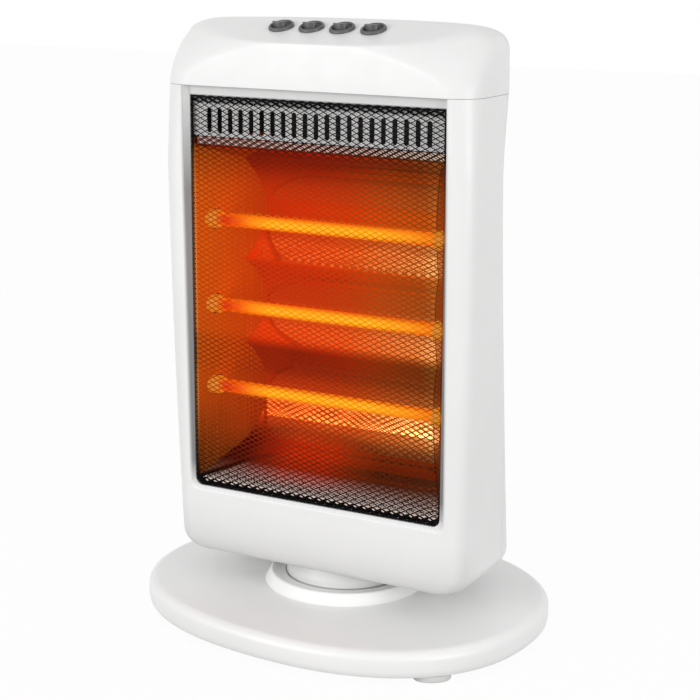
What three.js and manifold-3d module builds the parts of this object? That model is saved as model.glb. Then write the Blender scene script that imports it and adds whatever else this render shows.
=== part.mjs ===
// A three-bar halogen heater: an oval weighted base, a swivelling body with a window, a metal guard,
// a troughed reflector with three quartz tubes, and four rocker switches on a sloping panel.
// Millimetres, +Z up, the front looks along -Y. The origin is on the floor, at the centre of the base.
// The body has stopped part-way through a swing: the base stands turned a little under it.
import * as THREE from "three";
import { mergeVertices } from "three/addons/utils/BufferGeometryUtils.js";
import Module from "manifold-3d";

const wasm = await Module();
wasm.setup();

// ---------------------------------------------------------------- driving dimensions

const GAP = 0.3; // between pieces that touch
const WALL = 2.5; // moulded plastic walls
const SHEET = 1.0; // pressed metal sheets

// Base
const BASE_HALF_X = 178.8;
const BASE_HALF_Y = 141.5;
const BASE_POWER = 2.3; // exponent of the superellipse that the base follows in plan
const BASE_SIDES = 40;
const HOLLOW_SIDES = 20;
const FOOT_HEIGHT = 5.7;
const RIM_BOTTOM = 6.0;
const RIM_TOP = 28.0;
const CROWN_TOP = 31.0;
const COLLAR_FOOT_R = 70.7;
const COLLAR_RIM_R = 65.5;
const COLLAR_TOP = 40.5;
const COLLAR_SIDES = 28;

// Swivel neck
const NECK_R = 51.5;
const NECK_TOP_R = 47; // where it enters the body
const SPIGOT_R = 46.4;
const BEARING_WALL_TOP = 37.0; // the wall round the collar's hole, which carries the body
const WASHER_THICKNESS = 1.2;
const NECK_SHOULDER = BEARING_WALL_TOP + WASHER_THICKNESS + 2 * GAP;
const SWIVEL_DEG = 35; // each way
const SWUNG_DEG = 5; // where the body stands in its swing

// Body
const BODY_BOTTOM = 54.0;
const BODY_BOTTOM_R = 16;
const COVER_SEAM = 457.5; // where the top cover meets the front frame and the rear cover
const BODY_TOP = 510.6;
const WIDEST_Z = 380;
const WIDEST_HALF = 142.6;
const WIDTH_TAPER = 5.1; // how much narrower each side is 300 mm below the widest height
const FRONT_Y = -57.6; // front face at BODY_BOTTOM
const FRONT_LEAN = 0.0199; // the front face leans forward as it rises
const FRONT_CORNER_R = 15;
const CORNER_GROWTH = 8.5; // how much rounder the front corners are at the cover than at the waist
const WAIST_Z = 393.5;
const WAIST_Y = 64.1; // rear face at the waist
const REAR_FLARE = 38.2; // how much further back the rear face is near the bottom
const COVER_FLARE = 7.2; // and how much further back it is again near the top
const REAR_DEPTH = 80; // depth of the curved rear part of the plan
const TOP_ROUND_START = 483;
const TOP_ROUND_POWER = 3.9;
const TOP_ROUND_SIDE = 63;
const TOP_ROUND_REAR = 90;
const TOP_ROUND_FRONT = 25;

// Window and guard
const WINDOW_HALF = 120.1;
const WINDOW_BOTTOM = 110.6;
const WINDOW_CORNER_R = 7;
const LIP_HALF = 117.3; // inner half-width, at the guard
const LIP_REAR_Y = -52.0;
const GUARD_FRONT_Y = -57.2;
const GUARD_TOP = 448.6;
const GUARD_BOTTOM = 114.0;
const GUARD_COLUMNS = 7;
const GUARD_ROWS = 14;

// Tubes and reflector
const TUBE_HEIGHTS = [344, 271, 200];
const TUBE_Y = -38;
const TUBE_R = 5.5;
const TUBE_HALF = 109;
const CUSP_Y = -15; // front edge of the ridges between the troughs
const TROUGH_Y = 3; // back of each trough
const REFLECTOR_FRONT_Y = -53.7;

// Controls
const PANEL_FRONT = new THREE.Vector3(0, -64, 494.8);
const PANEL_TILT = THREE.MathUtils.degToRad(19.4);
const SWITCH_PITCH = 28;
const SWITCH_Y = -36;
const ROCKER_THROW_DEG = 20;

// Oscillation drive: the pin on the crank runs in a radial slot of the fixed plate
const CRANK_RATIO = -3; // turns of the crank to one of the body, near the middle of the swing
const CRANK_OFFSET = 25; // motor shaft to swivel axis
const CRANK_R = 0.574 * CRANK_OFFSET; // keeps the pin within 1 mm of the slot's middle
const PIN_R = 2.5;
const SLOT_HALF = 3.75;

const SCREW_SHANK_R = 1.5;
const SCREW_HOLE_R = 1.8;
const SCREW_HEAD_R = 3.4;
const SCREW_HEAD_HEIGHT = 2;

const COLOURS = {
  white: [0xf0f0ee, 0.42, 0.0],
  panelWhite: [0xe4e4e2, 0.5, 0.0],
  black: [0x141414, 0.45, 0.3],
  darkGrey: [0x4c4c4e, 0.5, 0.0],
  steel: [0xb4b6b8, 0.4, 0.9],
  mirror: [0xd8d4cc, 0.15, 1.0],
  ceramic: [0xe8e0d0, 0.7, 0.0],
  quartz: [0xfff2dc, 0.05, 0.0],
  tungsten: [0xffa820, 0.5, 0.5],
  rubber: [0xe2e2e0, 0.8, 0.0],
  iron: [0x55575a, 0.7, 0.6],
  cable: [0x2a2a2c, 0.6, 0.0],
};

// ---------------------------------------------------------------- solids

function solidOf(geometry) {
  const bare = geometry.clone();
  bare.deleteAttribute("normal");
  bare.deleteAttribute("uv");
  const merged = mergeVertices(bare, 1e-4);
  return new wasm.Manifold(
    new wasm.Mesh({
      numProp: 3,
      vertProperties: merged.attributes.position.array,
      triVerts: new Uint32Array(merged.index.array),
    }),
  );
}

function geometryOf(solid) {
  const mesh = solid.getMesh();
  const geometry = new THREE.BufferGeometry();
  geometry.setAttribute("position", new THREE.BufferAttribute(mesh.vertProperties, 3));
  geometry.setIndex(new THREE.BufferAttribute(mesh.triVerts, 1));
  const flat = geometry.toNonIndexed();
  flat.computeVertexNormals();
  return flat;
}

// A solid of revolution about Z; the profile runs anticlockwise in (radius, z).
function turned(profile, sides = 24) {
  const points = profile.map(([r, z]) => new THREE.Vector2(r, z));
  return solidOf(new THREE.LatheGeometry(points, sides).rotateX(Math.PI / 2));
}

function rod(r, z0, z1, x = 0, y = 0, sides = 12) {
  const profile = [[0, z0], [r, z0], [r, z1], [0, z1]];
  return turned(profile, sides).translate([x, y, 0]);
}

// A rod along X or Y instead of Z.
function rodAlong(axis, r, from, to, centre, sides = 12) {
  const upright = new THREE.CylinderGeometry(r, r, to - from, sides);
  const middle = (from + to) / 2;
  if (axis === "x") upright.rotateZ(Math.PI / 2).translate(middle, centre[0], centre[1]);
  else upright.translate(centre[0], middle, centre[1]);
  return solidOf(upright);
}

function block(x0, x1, y0, y1, z0, z1) {
  const box = new THREE.BoxGeometry(x1 - x0, y1 - y0, z1 - z0);
  return solidOf(box.translate((x0 + x1) / 2, (y0 + y1) / 2, (z0 + z1) / 2));
}

// An outline in (x, y), pushed along Z.
function plate(shape, z0, z1, curveSegments = 6) {
  const options = { depth: z1 - z0, bevelEnabled: false, curveSegments };
  return solidOf(new THREE.ExtrudeGeometry(shape, options).translate(0, 0, z0));
}

// An outline in (x, z), pushed along Y from y0 back to y1.
function upright(shape, y0, y1, curveSegments = 6) {
  const options = { depth: y1 - y0, bevelEnabled: false, curveSegments };
  return solidOf(new THREE.ExtrudeGeometry(shape, options).rotateX(Math.PI / 2).translate(0, y1, 0));
}

// An outline in (y, z), pushed along X from x0 to x1.
function sideways(points, x0, x1) {
  const shape = new THREE.Shape(points.map(([y, z]) => new THREE.Vector2(y, z)));
  const extruded = new THREE.ExtrudeGeometry(shape, { depth: x1 - x0, bevelEnabled: false });
  const turn = new THREE.Matrix4().set(0, 0, 1, x0, 1, 0, 0, 0, 0, 1, 0, 0, 0, 0, 0, 1);
  return solidOf(extruded.applyMatrix4(turn));
}

function roundedRectangle(halfWidth, bottom, top, radius) {
  const shape = new THREE.Shape();
  shape.moveTo(-halfWidth + radius, bottom);
  shape.lineTo(halfWidth - radius, bottom);
  shape.absarc(halfWidth - radius, bottom + radius, radius, -Math.PI / 2, 0);
  shape.lineTo(halfWidth, top);
  shape.lineTo(-halfWidth, top);
  shape.absarc(-halfWidth + radius, bottom + radius, radius, Math.PI, 1.5 * Math.PI);
  return shape;
}

// A closed solid through level rings of equal length, each convex and anticlockwise seen from above.
function loft(rings) {
  const count = rings[0].length;
  const positions = rings.flat().flatMap((p) => [p.x, p.y, p.z]);
  const indices = [];
  for (let level = 0; level < rings.length - 1; level++) {
    for (let i = 0; i < count; i++) {
      const a = level * count + i;
      const b = level * count + ((i + 1) % count);
      indices.push(a, b, b + count, a, b + count, a + count);
    }
  }
  const last = (rings.length - 1) * count;
  for (let i = 1; i < count - 1; i++) {
    indices.push(0, i + 1, i);
    indices.push(last, last + i, last + i + 1);
  }
  const geometry = new THREE.BufferGeometry();
  geometry.setAttribute("position", new THREE.Float32BufferAttribute(positions, 3));
  geometry.setIndex(indices);
  return solidOf(geometry);
}

function tubeAlong(points, radius, steps, sides = 8) {
  const section = new THREE.Shape();
  section.absarc(0, 0, radius, 0, 2 * Math.PI);
  const path = new THREE.CatmullRomCurve3(points.map((p) => new THREE.Vector3(...p)), false, "centripetal");
  const options = { steps, extrudePath: path, curveSegments: sides / 2, bevelEnabled: false };
  return solidOf(new THREE.ExtrudeGeometry(section, options));
}

function union(solids) {
  return solids.reduce((sum, next) => sum.add(next));
}

function cut(solid, tools) {
  return tools.reduce((rest, tool) => rest.subtract(tool), solid);
}

// ---------------------------------------------------------------- the assembly

const heater = new THREE.Group();
heater.name = "halogen_heater";

function add(name, solid, finish, parent = heater) {
  const [color, roughness, metalness] = COLOURS[finish];
  const material = new THREE.MeshStandardMaterial({ color, roughness, metalness, flatShading: true });
  const mesh = new THREE.Mesh(geometryOf(solid), material);
  mesh.name = name;
  parent.add(mesh);
  return mesh;
}

// A pan-head screw along +Z with its head's outer face at z = 0.
function screwSolid(shankLength) {
  const end = SCREW_HEAD_HEIGHT + shankLength;
  const edge = 0.8;
  const profile = [
    [0, 0],
    [SCREW_HEAD_R - edge, 0],
    [SCREW_HEAD_R, edge],
    [SCREW_HEAD_R, SCREW_HEAD_HEIGHT],
    [SCREW_SHANK_R, SCREW_HEAD_HEIGHT],
    [SCREW_SHANK_R, end],
    [0, end],
  ];
  return turned(profile, 8);
}

// ---------------------------------------------------------------- base

function basePlan(inset, z, sides = BASE_SIDES) {
  const ring = [];
  for (let i = 0; i < sides; i++) {
    const angle = (2 * Math.PI * i) / sides;
    const c = Math.cos(angle);
    const s = Math.sin(angle);
    const x = (BASE_HALF_X - inset) * Math.sign(c) * Math.abs(c) ** (2 / BASE_POWER);
    const y = (BASE_HALF_Y - inset) * Math.sign(s) * Math.abs(s) ** (2 / BASE_POWER);
    ring.push(new THREE.Vector3(x, y, z));
  }
  return ring;
}

// Inset and height of the base's outer skin, from the rim's lower edge to the foot of the collar.
const BASE_SKIN = [
  [2.2, RIM_BOTTOM],
  [0, RIM_BOTTOM + 5],
  [0.3, RIM_TOP - 7.5],
  [2.4, RIM_TOP - 2.4],
  [7, RIM_TOP],
  [60, CROWN_TOP],
];
const BASE_HOLLOW = [
  [2.2, RIM_BOTTOM - 1],
  [0, RIM_BOTTOM + 8],
  [2.4, RIM_TOP - 4.4],
  [60, CROWN_TOP - WALL],
];
const SCREW_POSTS = [[105, 75], [-105, 75], [-105, -75], [105, -75]];
const DRIVE_POSTS = [[50, 32], [-50, 32]];
const DRIVE_PLATE_Z = [22, 25];
const COVER_Z = [RIM_BOTTOM, RIM_BOTTOM + WALL];
const SWITCH_BOX_Y = -95; // tip-over switch, near the front edge
const GLAND_Z = 16;
const GLAND_R = 6;

function baseShell() {
  const skin = BASE_SKIN.map(([inset, z]) => basePlan(inset, z));
  const hollow = BASE_HOLLOW.map(([inset, z]) => basePlan(inset + WALL, z, HOLLOW_SIDES));
  const collar = turned([
    [0, 20],
    [COLLAR_FOOT_R - 1, 20],
    [COLLAR_FOOT_R, CROWN_TOP - 0.4],
    [COLLAR_RIM_R + 2.6, 35.4],
    [COLLAR_RIM_R, COLLAR_TOP],
    [COLLAR_RIM_R - 2, COLLAR_TOP],
    [NECK_R + 4, 39.0],
    [NECK_R + 0.9, 38.9],
    [NECK_R + 0.9, BEARING_WALL_TOP],
    [0, BEARING_WALL_TOP],
  ], COLLAR_SIDES);
  const wallBottom = BEARING_WALL_TOP - WALL;
  const collarHollow = turned([
    [0, 10],
    [COLLAR_FOOT_R - WALL, 10],
    [COLLAR_FOOT_R - WALL, CROWN_TOP - WALL],
    [COLLAR_RIM_R - 1.2, wallBottom],
    [0, wallBottom],
  ], COLLAR_SIDES);
  const hole = rod(SPIGOT_R + 0.8, 20, 50, 0, 0, COLLAR_SIDES);
  const open = cut(loft(skin).add(collar), [loft(hollow), collarHollow, hole]);
  const posts = SCREW_POSTS.map(([x, y]) => rod(4.5, COVER_Z[1] + GAP, CROWN_TOP - WALL, x, y, 8));
  const drivePosts = DRIVE_POSTS.map(([x, y]) => rod(4, DRIVE_PLATE_Z[1] + GAP, 35.5, x, y, 10));
  const pins = DRIVE_POSTS.map(([x, y]) => rod(2, DRIVE_PLATE_Z[0] - 2, 30, x, y, 8));
  const screwHoles = SCREW_POSTS.map(([x, y]) => rod(SCREW_HOLE_R, 0, 20, x, y, 8));
  const glandHole = rodAlong("y", GLAND_R + GAP, 120, 150, [0, GLAND_Z], 16);
  const glandSeat = rodAlong("y", GLAND_R + 3.5, BASE_HALF_Y - 1.8, 150, [0, GLAND_Z], 16);
  return cut(union([open, ...posts, ...drivePosts, ...pins]), [...screwHoles, glandHole, glandSeat]);
}

function baseBottomCover() {
  const inset = 2.2 + WALL + 0.6;
  const sheet = loft(COVER_Z.map((z) => basePlan(inset, z, HOLLOW_SIDES)));
  const holes = SCREW_POSTS.map(([x, y]) => rod(SCREW_HOLE_R, 0, 20, x, y, 8));
  const plungerHole = rod(6, 0, 20, 0, SWITCH_BOX_Y, 16);
  return cut(sheet, [...holes, plungerHole]);
}

function ballastPlate() {
  const shape = new THREE.Shape();
  const [halfX, y0, y1, r] = [95, -62, 74, 14];
  shape.moveTo(-halfX + r, y0);
  shape.lineTo(halfX - r, y0);
  shape.absarc(halfX - r, y0 + r, r, -Math.PI / 2, 0);
  shape.absarc(halfX - r, y1 - r, r, 0, Math.PI / 2);
  shape.absarc(-halfX + r, y1 - r, r, Math.PI / 2, Math.PI);
  shape.absarc(-halfX + r, y0 + r, r, Math.PI, 1.5 * Math.PI);
  return plate(shape, COVER_Z[1] + GAP, COVER_Z[1] + GAP + 5, 4);
}

const FOOT_SIDES = 12;

// A rounded pad, wider along X, with bevelled lower edges.
function foot() {
  const ring = (halfX, halfY, z) => {
    const points = [];
    for (let i = 0; i < FOOT_SIDES; i++) {
      const angle = (2 * Math.PI * i) / FOOT_SIDES;
      points.push(new THREE.Vector3(halfX * Math.cos(angle), halfY * Math.sin(angle), z));
    }
    return points;
  };
  return loft([ring(14, 8, 0), ring(15.5, 9.5, 1.5), ring(15.5, 9.5, FOOT_HEIGHT)]);
}

function drivePlate() {
  const shape = new THREE.Shape();
  const [halfX, y0, y1, r] = [57, 15, 49, 8];
  shape.moveTo(-halfX + r, y0);
  shape.lineTo(halfX - r, y0);
  shape.absarc(halfX - r, y0 + r, r, -Math.PI / 2, 0);
  shape.absarc(halfX - r, y1 - r, r, 0, Math.PI / 2);
  shape.absarc(-halfX + r, y1 - r, r, Math.PI / 2, Math.PI);
  shape.absarc(-halfX + r, y0 + r, r, Math.PI, 1.5 * Math.PI);
  const slot = new THREE.Path();
  const nearest = CRANK_OFFSET * Math.cos(THREE.MathUtils.degToRad(SWIVEL_DEG)) +
    CRANK_R * Math.cos(THREE.MathUtils.degToRad(2 * SWIVEL_DEG)) - 1;
  const furthest = CRANK_OFFSET + CRANK_R + 1;
  slot.absarc(0, furthest, SLOT_HALF, 0, Math.PI);
  slot.absarc(0, nearest, SLOT_HALF, Math.PI, 2 * Math.PI);
  shape.holes.push(slot);
  const holes = DRIVE_POSTS.map(([x, y]) => rod(2.4, 0, 40, x, y, 8));
  return cut(plate(shape, ...DRIVE_PLATE_Z, 5), holes);
}

function swivelWasher() {
  const z0 = BEARING_WALL_TOP + GAP;
  const z1 = z0 + WASHER_THICKNESS;
  const inner = SPIGOT_R + 1.2;
  const outer = NECK_R - 0.3;
  return turned([[inner, z0], [outer, z0], [outer, z1], [inner, z1], [inner, z0]], COLLAR_SIDES);
}

const PLUNGER_R = 4.8;
const PLUNGER_FLANGE_Z = 18;

function tipSwitchHousing() {
  const z0 = COVER_Z[1] + GAP;
  const box = block(-16, 16, SWITCH_BOX_Y - 11, SWITCH_BOX_Y + 11, z0, 24.4);
  const mouth = rod(PLUNGER_R + 0.6, 0, 12, 0, SWITCH_BOX_Y, 16);
  const chamber = rod(7.8, 11, 22.4, 0, SWITCH_BOX_Y, 16);
  return cut(box, [mouth, chamber]);
}

function tipPlunger() {
  const profile = [
    [0, 0],
    [PLUNGER_R - 1.5, 0],
    [PLUNGER_R, 1.5],
    [PLUNGER_R, PLUNGER_FLANGE_Z],
    [7.2, PLUNGER_FLANGE_Z],
    [7.2, PLUNGER_FLANGE_Z + 2],
    [0, PLUNGER_FLANGE_Z + 2],
  ];
  return turned(profile, 16).translate([0, SWITCH_BOX_Y, 0]);
}

function cordGland() {
  const inner = BASE_HALF_Y - 9;
  const seat = BASE_HALF_Y - 1.8 + GAP;
  const face = BASE_HALF_Y - 0.1;
  const profile = [
    [3.6, inner],
    [GLAND_R, inner],
    [GLAND_R, seat],
    [GLAND_R + 3, seat],
    [GLAND_R + 3, face],
    [3.6, face],
    [3.6, inner],
  ];
  const alongY = turned(profile, 16).rotate([-90, 0, 0]);
  return alongY.translate([0, 0, GLAND_Z]);
}

// From the gland to the tip-over switch, with a branch up through the swivel to the terminal block.
function baseWiring() {
  const low = 17.4;
  const floorRun = [[0, 128, GLAND_Z], [0, 110, low], [0, 30, low], [0, -60, low], [0, -83.6, low]];
  const branch = [[0, 30, low], [0, 8, low], [0, 1, 22], [0, 0, 32], [0, 0, 46], [0, 0, 61.7]];
  const [radius, sides] = [2.2, 6];
  return tubeAlong(floorRun, radius, 8, sides).add(tubeAlong(branch, radius, 10, sides));
}

const FOOT_PLACE = [138, 82];
const FOOT_TURN_DEG = 38;

function buildBase(base) {
  add("base_shell", baseShell(), "white", base);
  add("base_bottom_cover", baseBottomCover(), "white", base);
  add("ballast_plate", ballastPlate(), "iron", base);
  const [footX, footY] = FOOT_PLACE;
  const feet = {
    front_left: [-footX, -footY],
    front_right: [footX, -footY],
    rear_left: [-footX, footY],
    rear_right: [footX, footY],
  };
  for (const [place, [x, y]] of Object.entries(feet)) {
    const mesh = add(`foot_${place}`, foot(), "rubber", base);
    mesh.position.set(x, y, 0);
    mesh.rotation.z = Math.sign(x * -y) * THREE.MathUtils.degToRad(FOOT_TURN_DEG);
  }
  add("drive_plate", drivePlate(), "steel", base);
  add("swivel_washer", swivelWasher(), "rubber", base);
  add("tip_switch_housing", tipSwitchHousing(), "cable", base);
  add("tip_plunger", tipPlunger(), "rubber", base);
  add("cord_gland", cordGland(), "black", base);
  add("base_wiring", baseWiring(), "cable", base);
  SCREW_POSTS.forEach(([x, y], i) => {
    const screw = add(`base_screw_${i + 1}`, screwSolid(10), "steel", base);
    screw.position.set(x, y, COVER_Z[0] - GAP - SCREW_HEAD_HEIGHT);
  });
}

// ---------------------------------------------------------------- body outline

function halfWidthAt(z) {
  return WIDEST_HALF - WIDTH_TAPER * ((z - WIDEST_Z) / 300) ** 2;
}

function frontAt(z) {
  return FRONT_Y - FRONT_LEAN * (z - BODY_BOTTOM);
}

function rearAt(z) {
  const below = Math.max(0, WAIST_Z - z) / 317;
  const above = Math.max(0, Math.min(z, COVER_SEAM) - WAIST_Z) / 60;
  return WAIST_Y + REAR_FLARE * below ** 1.5 + COVER_FLARE * above ** 1.5;
}

// How far the rounded top draws the sides, the rear and the front in at this height, as a share of 1.
function topDrawIn(z) {
  const u = Math.max(0, (z - TOP_ROUND_START) / (BODY_TOP - TOP_ROUND_START));
  return 1 - (1 - u ** TOP_ROUND_POWER) ** (1 / TOP_ROUND_POWER);
}

// How far the rounded bottom edge draws the outline in at this height.
function bottomDrawIn(z) {
  const below = Math.max(0, BODY_BOTTOM_R - (z - BODY_BOTTOM));
  return BODY_BOTTOM_R - Math.sqrt(Math.max(0, BODY_BOTTOM_R ** 2 - below ** 2));
}

// The body's outline at one height: straight front, elliptical front corners, curved rear.
function bodyPlan(z, inset) {
  const drawn = topDrawIn(z);
  const bottom = bottomDrawIn(z);
  const half = halfWidthAt(z) - TOP_ROUND_SIDE * drawn - bottom - inset;
  const front = frontAt(z) + TOP_ROUND_FRONT * drawn + 0.4 * bottom + inset;
  const rear = rearAt(z) - TOP_ROUND_REAR * drawn - bottom - inset;
  const rearStart = rear - (REAR_DEPTH * (1 - 0.75 * drawn) - inset);
  const rise = Math.min(1, Math.max(0, (z - WAIST_Z) / (COVER_SEAM - WAIST_Z)));
  const corner = FRONT_CORNER_R + CORNER_GROWTH * rise - inset;
  const bow = Math.min(1, Math.max(0, (z - COVER_SEAM) / (0.75 * (BODY_TOP - COVER_SEAM)))) ** 2;
  const cornerX = corner + (half - 4 - corner) * bow;
  const cornerY = Math.min(corner + 25 * bow, rearStart - front - 0.5);
  const ring = [];
  const cornerSteps = 4;
  for (let i = 0; i <= cornerSteps; i++) {
    const angle = (i / cornerSteps) * (Math.PI / 2);
    const x = half - cornerX + cornerX * Math.sin(angle);
    ring.push(new THREE.Vector3(x, front + cornerY - cornerY * Math.cos(angle), z));
  }
  const rearSteps = 8;
  for (let i = 0; i < rearSteps; i++) {
    const angle = (i / rearSteps) * (Math.PI / 2);
    const y = rearStart + (rear - rearStart) * Math.sin(angle);
    ring.push(new THREE.Vector3(half * Math.cos(angle), y, z));
  }
  const mirrored = ring.map((p) => new THREE.Vector3(-p.x, p.y, z)).reverse();
  return [...ring, new THREE.Vector3(0, rear, z), ...mirrored];
}

const TOP_HEIGHTS = [474, 485, 495, 502, 506.5, 509.2, BODY_TOP];
const OUTER_HEIGHTS = [54, 56.1, 62, 70, 150, 230, 315, WAIST_Z, 430, COVER_SEAM, ...TOP_HEIGHTS];
const INNER_HEIGHTS = [54, 58.5, 70, 190, 315, WAIST_Z, COVER_SEAM, 485, 502, 509.2, BODY_TOP];

// The same height, squeezed so that the floor and the top keep a wall.
function wallHeight(z) {
  const share = (z - BODY_BOTTOM) / (BODY_TOP - BODY_BOTTOM);
  return BODY_BOTTOM + WALL + share * (BODY_TOP - BODY_BOTTOM - 2 * WALL);
}

const bodyOuter = loft(OUTER_HEIGHTS.map((z) => bodyPlan(z, 0)));
const bodyInner = loft(INNER_HEIGHTS.map((z) => bodyPlan(z, WALL).map((p) => p.setZ(wallHeight(z)))));

// The control panel's plane, and everything above it, lowered by depth.
function abovePanel(depth) {
  const [reach, height] = [400, 100];
  const slab = new THREE.BoxGeometry(reach, reach, height).translate(0, reach / 4, height / 2 - depth);
  slab.rotateX(PANEL_TILT).translate(PANEL_FRONT.x, PANEL_FRONT.y, PANEL_FRONT.z);
  return solidOf(slab);
}

// The seam between front frame and rear cover is a plane that leans back towards the bottom.
const SEAM_Y_TOP = -1.5;
const SEAM_LEAN = 0.064;

function seamY(z) {
  return SEAM_Y_TOP + SEAM_LEAN * (COVER_SEAM - z);
}

function aheadOfSeam(shift) {
  const [low, high] = [40, 600];
  const points = [
    [-300, low],
    [seamY(low) + shift, low],
    [seamY(high) + shift, high],
    [-300, high],
  ];
  return sideways(points, -300, 300);
}

const REAR_SCREWS = [[128, 430], [-128, 430], [124, 92], [-124, 92]];
const REAR_SCREW_FLOOR = 9; // from the seam back to the seat of the screw's head
const WELL_WALL_R = 6.4;

function neckHole() {
  return rod(NECK_TOP_R + 0.8, 30, BODY_BOTTOM + 6, 0, 0, COLLAR_SIDES);
}

function frontFrame() {
  const shell = bodyOuter.subtract(bodyInner);
  const belowCover = block(-300, 300, -300, 300, 0, COVER_SEAM - GAP);
  const front = shell.intersect(aheadOfSeam(-GAP / 2)).intersect(belowCover);
  const lipOuter = roundedRectangle(LIP_HALF + 3.4, WINDOW_BOTTOM - 0.6, COVER_SEAM - GAP, WINDOW_CORNER_R);
  const lip = upright(lipOuter, -66.5, LIP_REAR_Y).intersect(bodyOuter);
  const crossBar = block(-LIP_HALF - 2, LIP_HALF + 2, -58.5, LIP_REAR_Y, GUARD_TOP + 0.5, COVER_SEAM - GAP);
  const bosses = REAR_SCREWS.flatMap(([x, z]) => {
    const [y0, y1] = [seamY(z) - 14, seamY(z) - 1];
    const outward = 1.2 * x;
    const web = block(Math.min(x, outward), Math.max(x, outward), y0, y1, z - 1.2, z + 1.2);
    return [rodAlong("y", 4.6, y0, y1, [x, z], 8), web];
  });
  const insideShell = union(bosses).intersect(bodyOuter).intersect(aheadOfSeam(-GAP / 2));
  const screwHoles = REAR_SCREWS.map(([x, z]) => {
    return rodAlong("y", SCREW_HOLE_R, seamY(z) - 12, seamY(z) + 5, [x, z], 8);
  });
  const solid = cut(union([front, lip, insideShell]), [windowCutter(), neckHole(), ...screwHoles]);
  return solid.add(crossBar);
}

// The window narrows by a bevel from the front face to the guard.
function windowCutter() {
  const rearY = GUARD_FRONT_Y - 0.6;
  const outer = roundedRectangle(WINDOW_HALF, WINDOW_BOTTOM, 480, WINDOW_CORNER_R);
  const inner = roundedRectangle(LIP_HALF, WINDOW_BOTTOM + 2.9, 480, WINDOW_CORNER_R);
  const straight = upright(inner, -80, -40);
  const front = outer.getPoints(4).map((p) => [p.x, p.y]);
  const back = inner.getPoints(4).map((p) => [p.x, p.y]);
  const bevel = loft([
    back.map(([x, z]) => new THREE.Vector3(x, -z, rearY)),
    front.map(([x, z]) => new THREE.Vector3(x, -z, -66.5)),
  ].reverse());
  return straight.add(bevel.rotate([90, 0, 0]));
}

function rearCover() {
  const shell = bodyOuter.subtract(bodyInner);
  const belowCover = block(-300, 300, -300, 300, 0, COVER_SEAM - GAP);
  const behind = aheadOfSeam(GAP / 2);
  const rear = shell.intersect(belowCover).subtract(behind);
  const wells = REAR_SCREWS.map(([x, z]) => {
    return rodAlong("y", WELL_WALL_R, seamY(z) - 2, seamY(z) + 70, [x, z], 8);
  });
  const wellBodies = union(wells).intersect(bodyOuter).subtract(behind);
  const bores = REAR_SCREWS.flatMap(([x, z]) => [
    rodAlong("y", SCREW_HEAD_R + 0.8, seamY(z) + REAR_SCREW_FLOOR, seamY(z) + 90, [x, z], 8),
    rodAlong("y", SCREW_HOLE_R, seamY(z) - 9, seamY(z) + 20, [x, z], 8),
  ]);
  const pocketOuter = handlePocket(WALL).intersect(bodyOuter);
  const solid = union([rear, wellBodies, pocketOuter]);
  return cut(solid, [handlePocket(0), neckHole(), ...bores, ...louvres()]);
}

const HANDLE_Z = [404, 436];
const HANDLE_HALF = 52;
const HANDLE_DEPTH = 24;

// The recessed grip near the top of the rear cover, or its walls, thicker by grow.
function handlePocket(grow) {
  const shape = new THREE.Shape();
  const r = 10 + grow;
  const [x, z0, z1] = [HANDLE_HALF + grow, HANDLE_Z[0] - grow, HANDLE_Z[1] + grow];
  shape.absarc(x - r, z0 + r, r, -Math.PI / 2, 0);
  shape.absarc(x - r, z1 - r, r, 0, Math.PI / 2);
  shape.absarc(-x + r, z1 - r, r, Math.PI / 2, Math.PI);
  shape.absarc(-x + r, z0 + r, r, Math.PI, 1.5 * Math.PI);
  return upright(shape, WAIST_Y - HANDLE_DEPTH - grow, 120, 3);
}

// Two columns of level cooling slots in the lower and middle rear.
function louvres() {
  const [rows, lowest, pitch, height] = [5, 160, 16, 3.6];
  const [centre, half] = [44, 40];
  const slots = [];
  for (let row = 0; row < rows; row++) {
    const z = lowest + row * pitch;
    for (const x of [-centre, centre]) slots.push(block(x - half, x + half, 30, 120, z, z + height));
  }
  return slots;
}

// ---------------------------------------------------------------- body pieces

const SWITCH_PLACES = [-1.5, -0.5, 0.5, 1.5].map((step) => step * SWITCH_PITCH);

// Puts an object of the panel's own frame (z out of the panel) at one switch.
function switchGroup(x) {
  const group = new THREE.Group();
  const rise = Math.tan(PANEL_TILT) * (SWITCH_Y - PANEL_FRONT.y);
  group.position.set(x, SWITCH_Y, PANEL_FRONT.z + rise);
  group.rotation.x = PANEL_TILT;
  return group;
}

function topCover() {
  const aboveSeam = block(-300, 300, -300, 300, COVER_SEAM, 600);
  const outer = bodyOuter.subtract(abovePanel(0));
  const inner = bodyInner.subtract(abovePanel(WALL));
  const shell = outer.subtract(inner).intersect(aboveSeam);
  const holes = SWITCH_PLACES.map((x) => {
    const bore = new THREE.CylinderGeometry(BARREL_R + 0.4, BARREL_R + 0.4, 40, 20).rotateX(Math.PI / 2);
    const group = switchGroup(x);
    group.updateMatrix();
    return solidOf(bore.applyMatrix4(group.matrix));
  });
  return cut(shell, holes);
}

const BEZEL_R = 11.4;
const BARREL_R = 9.4;
const WELL_R = 8.5;

function switchHousing() {
  const profile = [
    [0, -17],
    [BARREL_R, -17],
    [BARREL_R, GAP],
    [BEZEL_R, GAP],
    [BEZEL_R, 1.2],
    [BEZEL_R - 1, 2.2],
    [WELL_R + 0.4, 2.2],
    [WELL_R, 1.4],
    [WELL_R, -9],
    [0, -9],
  ];
  return turned(profile, 14);
}

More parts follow.
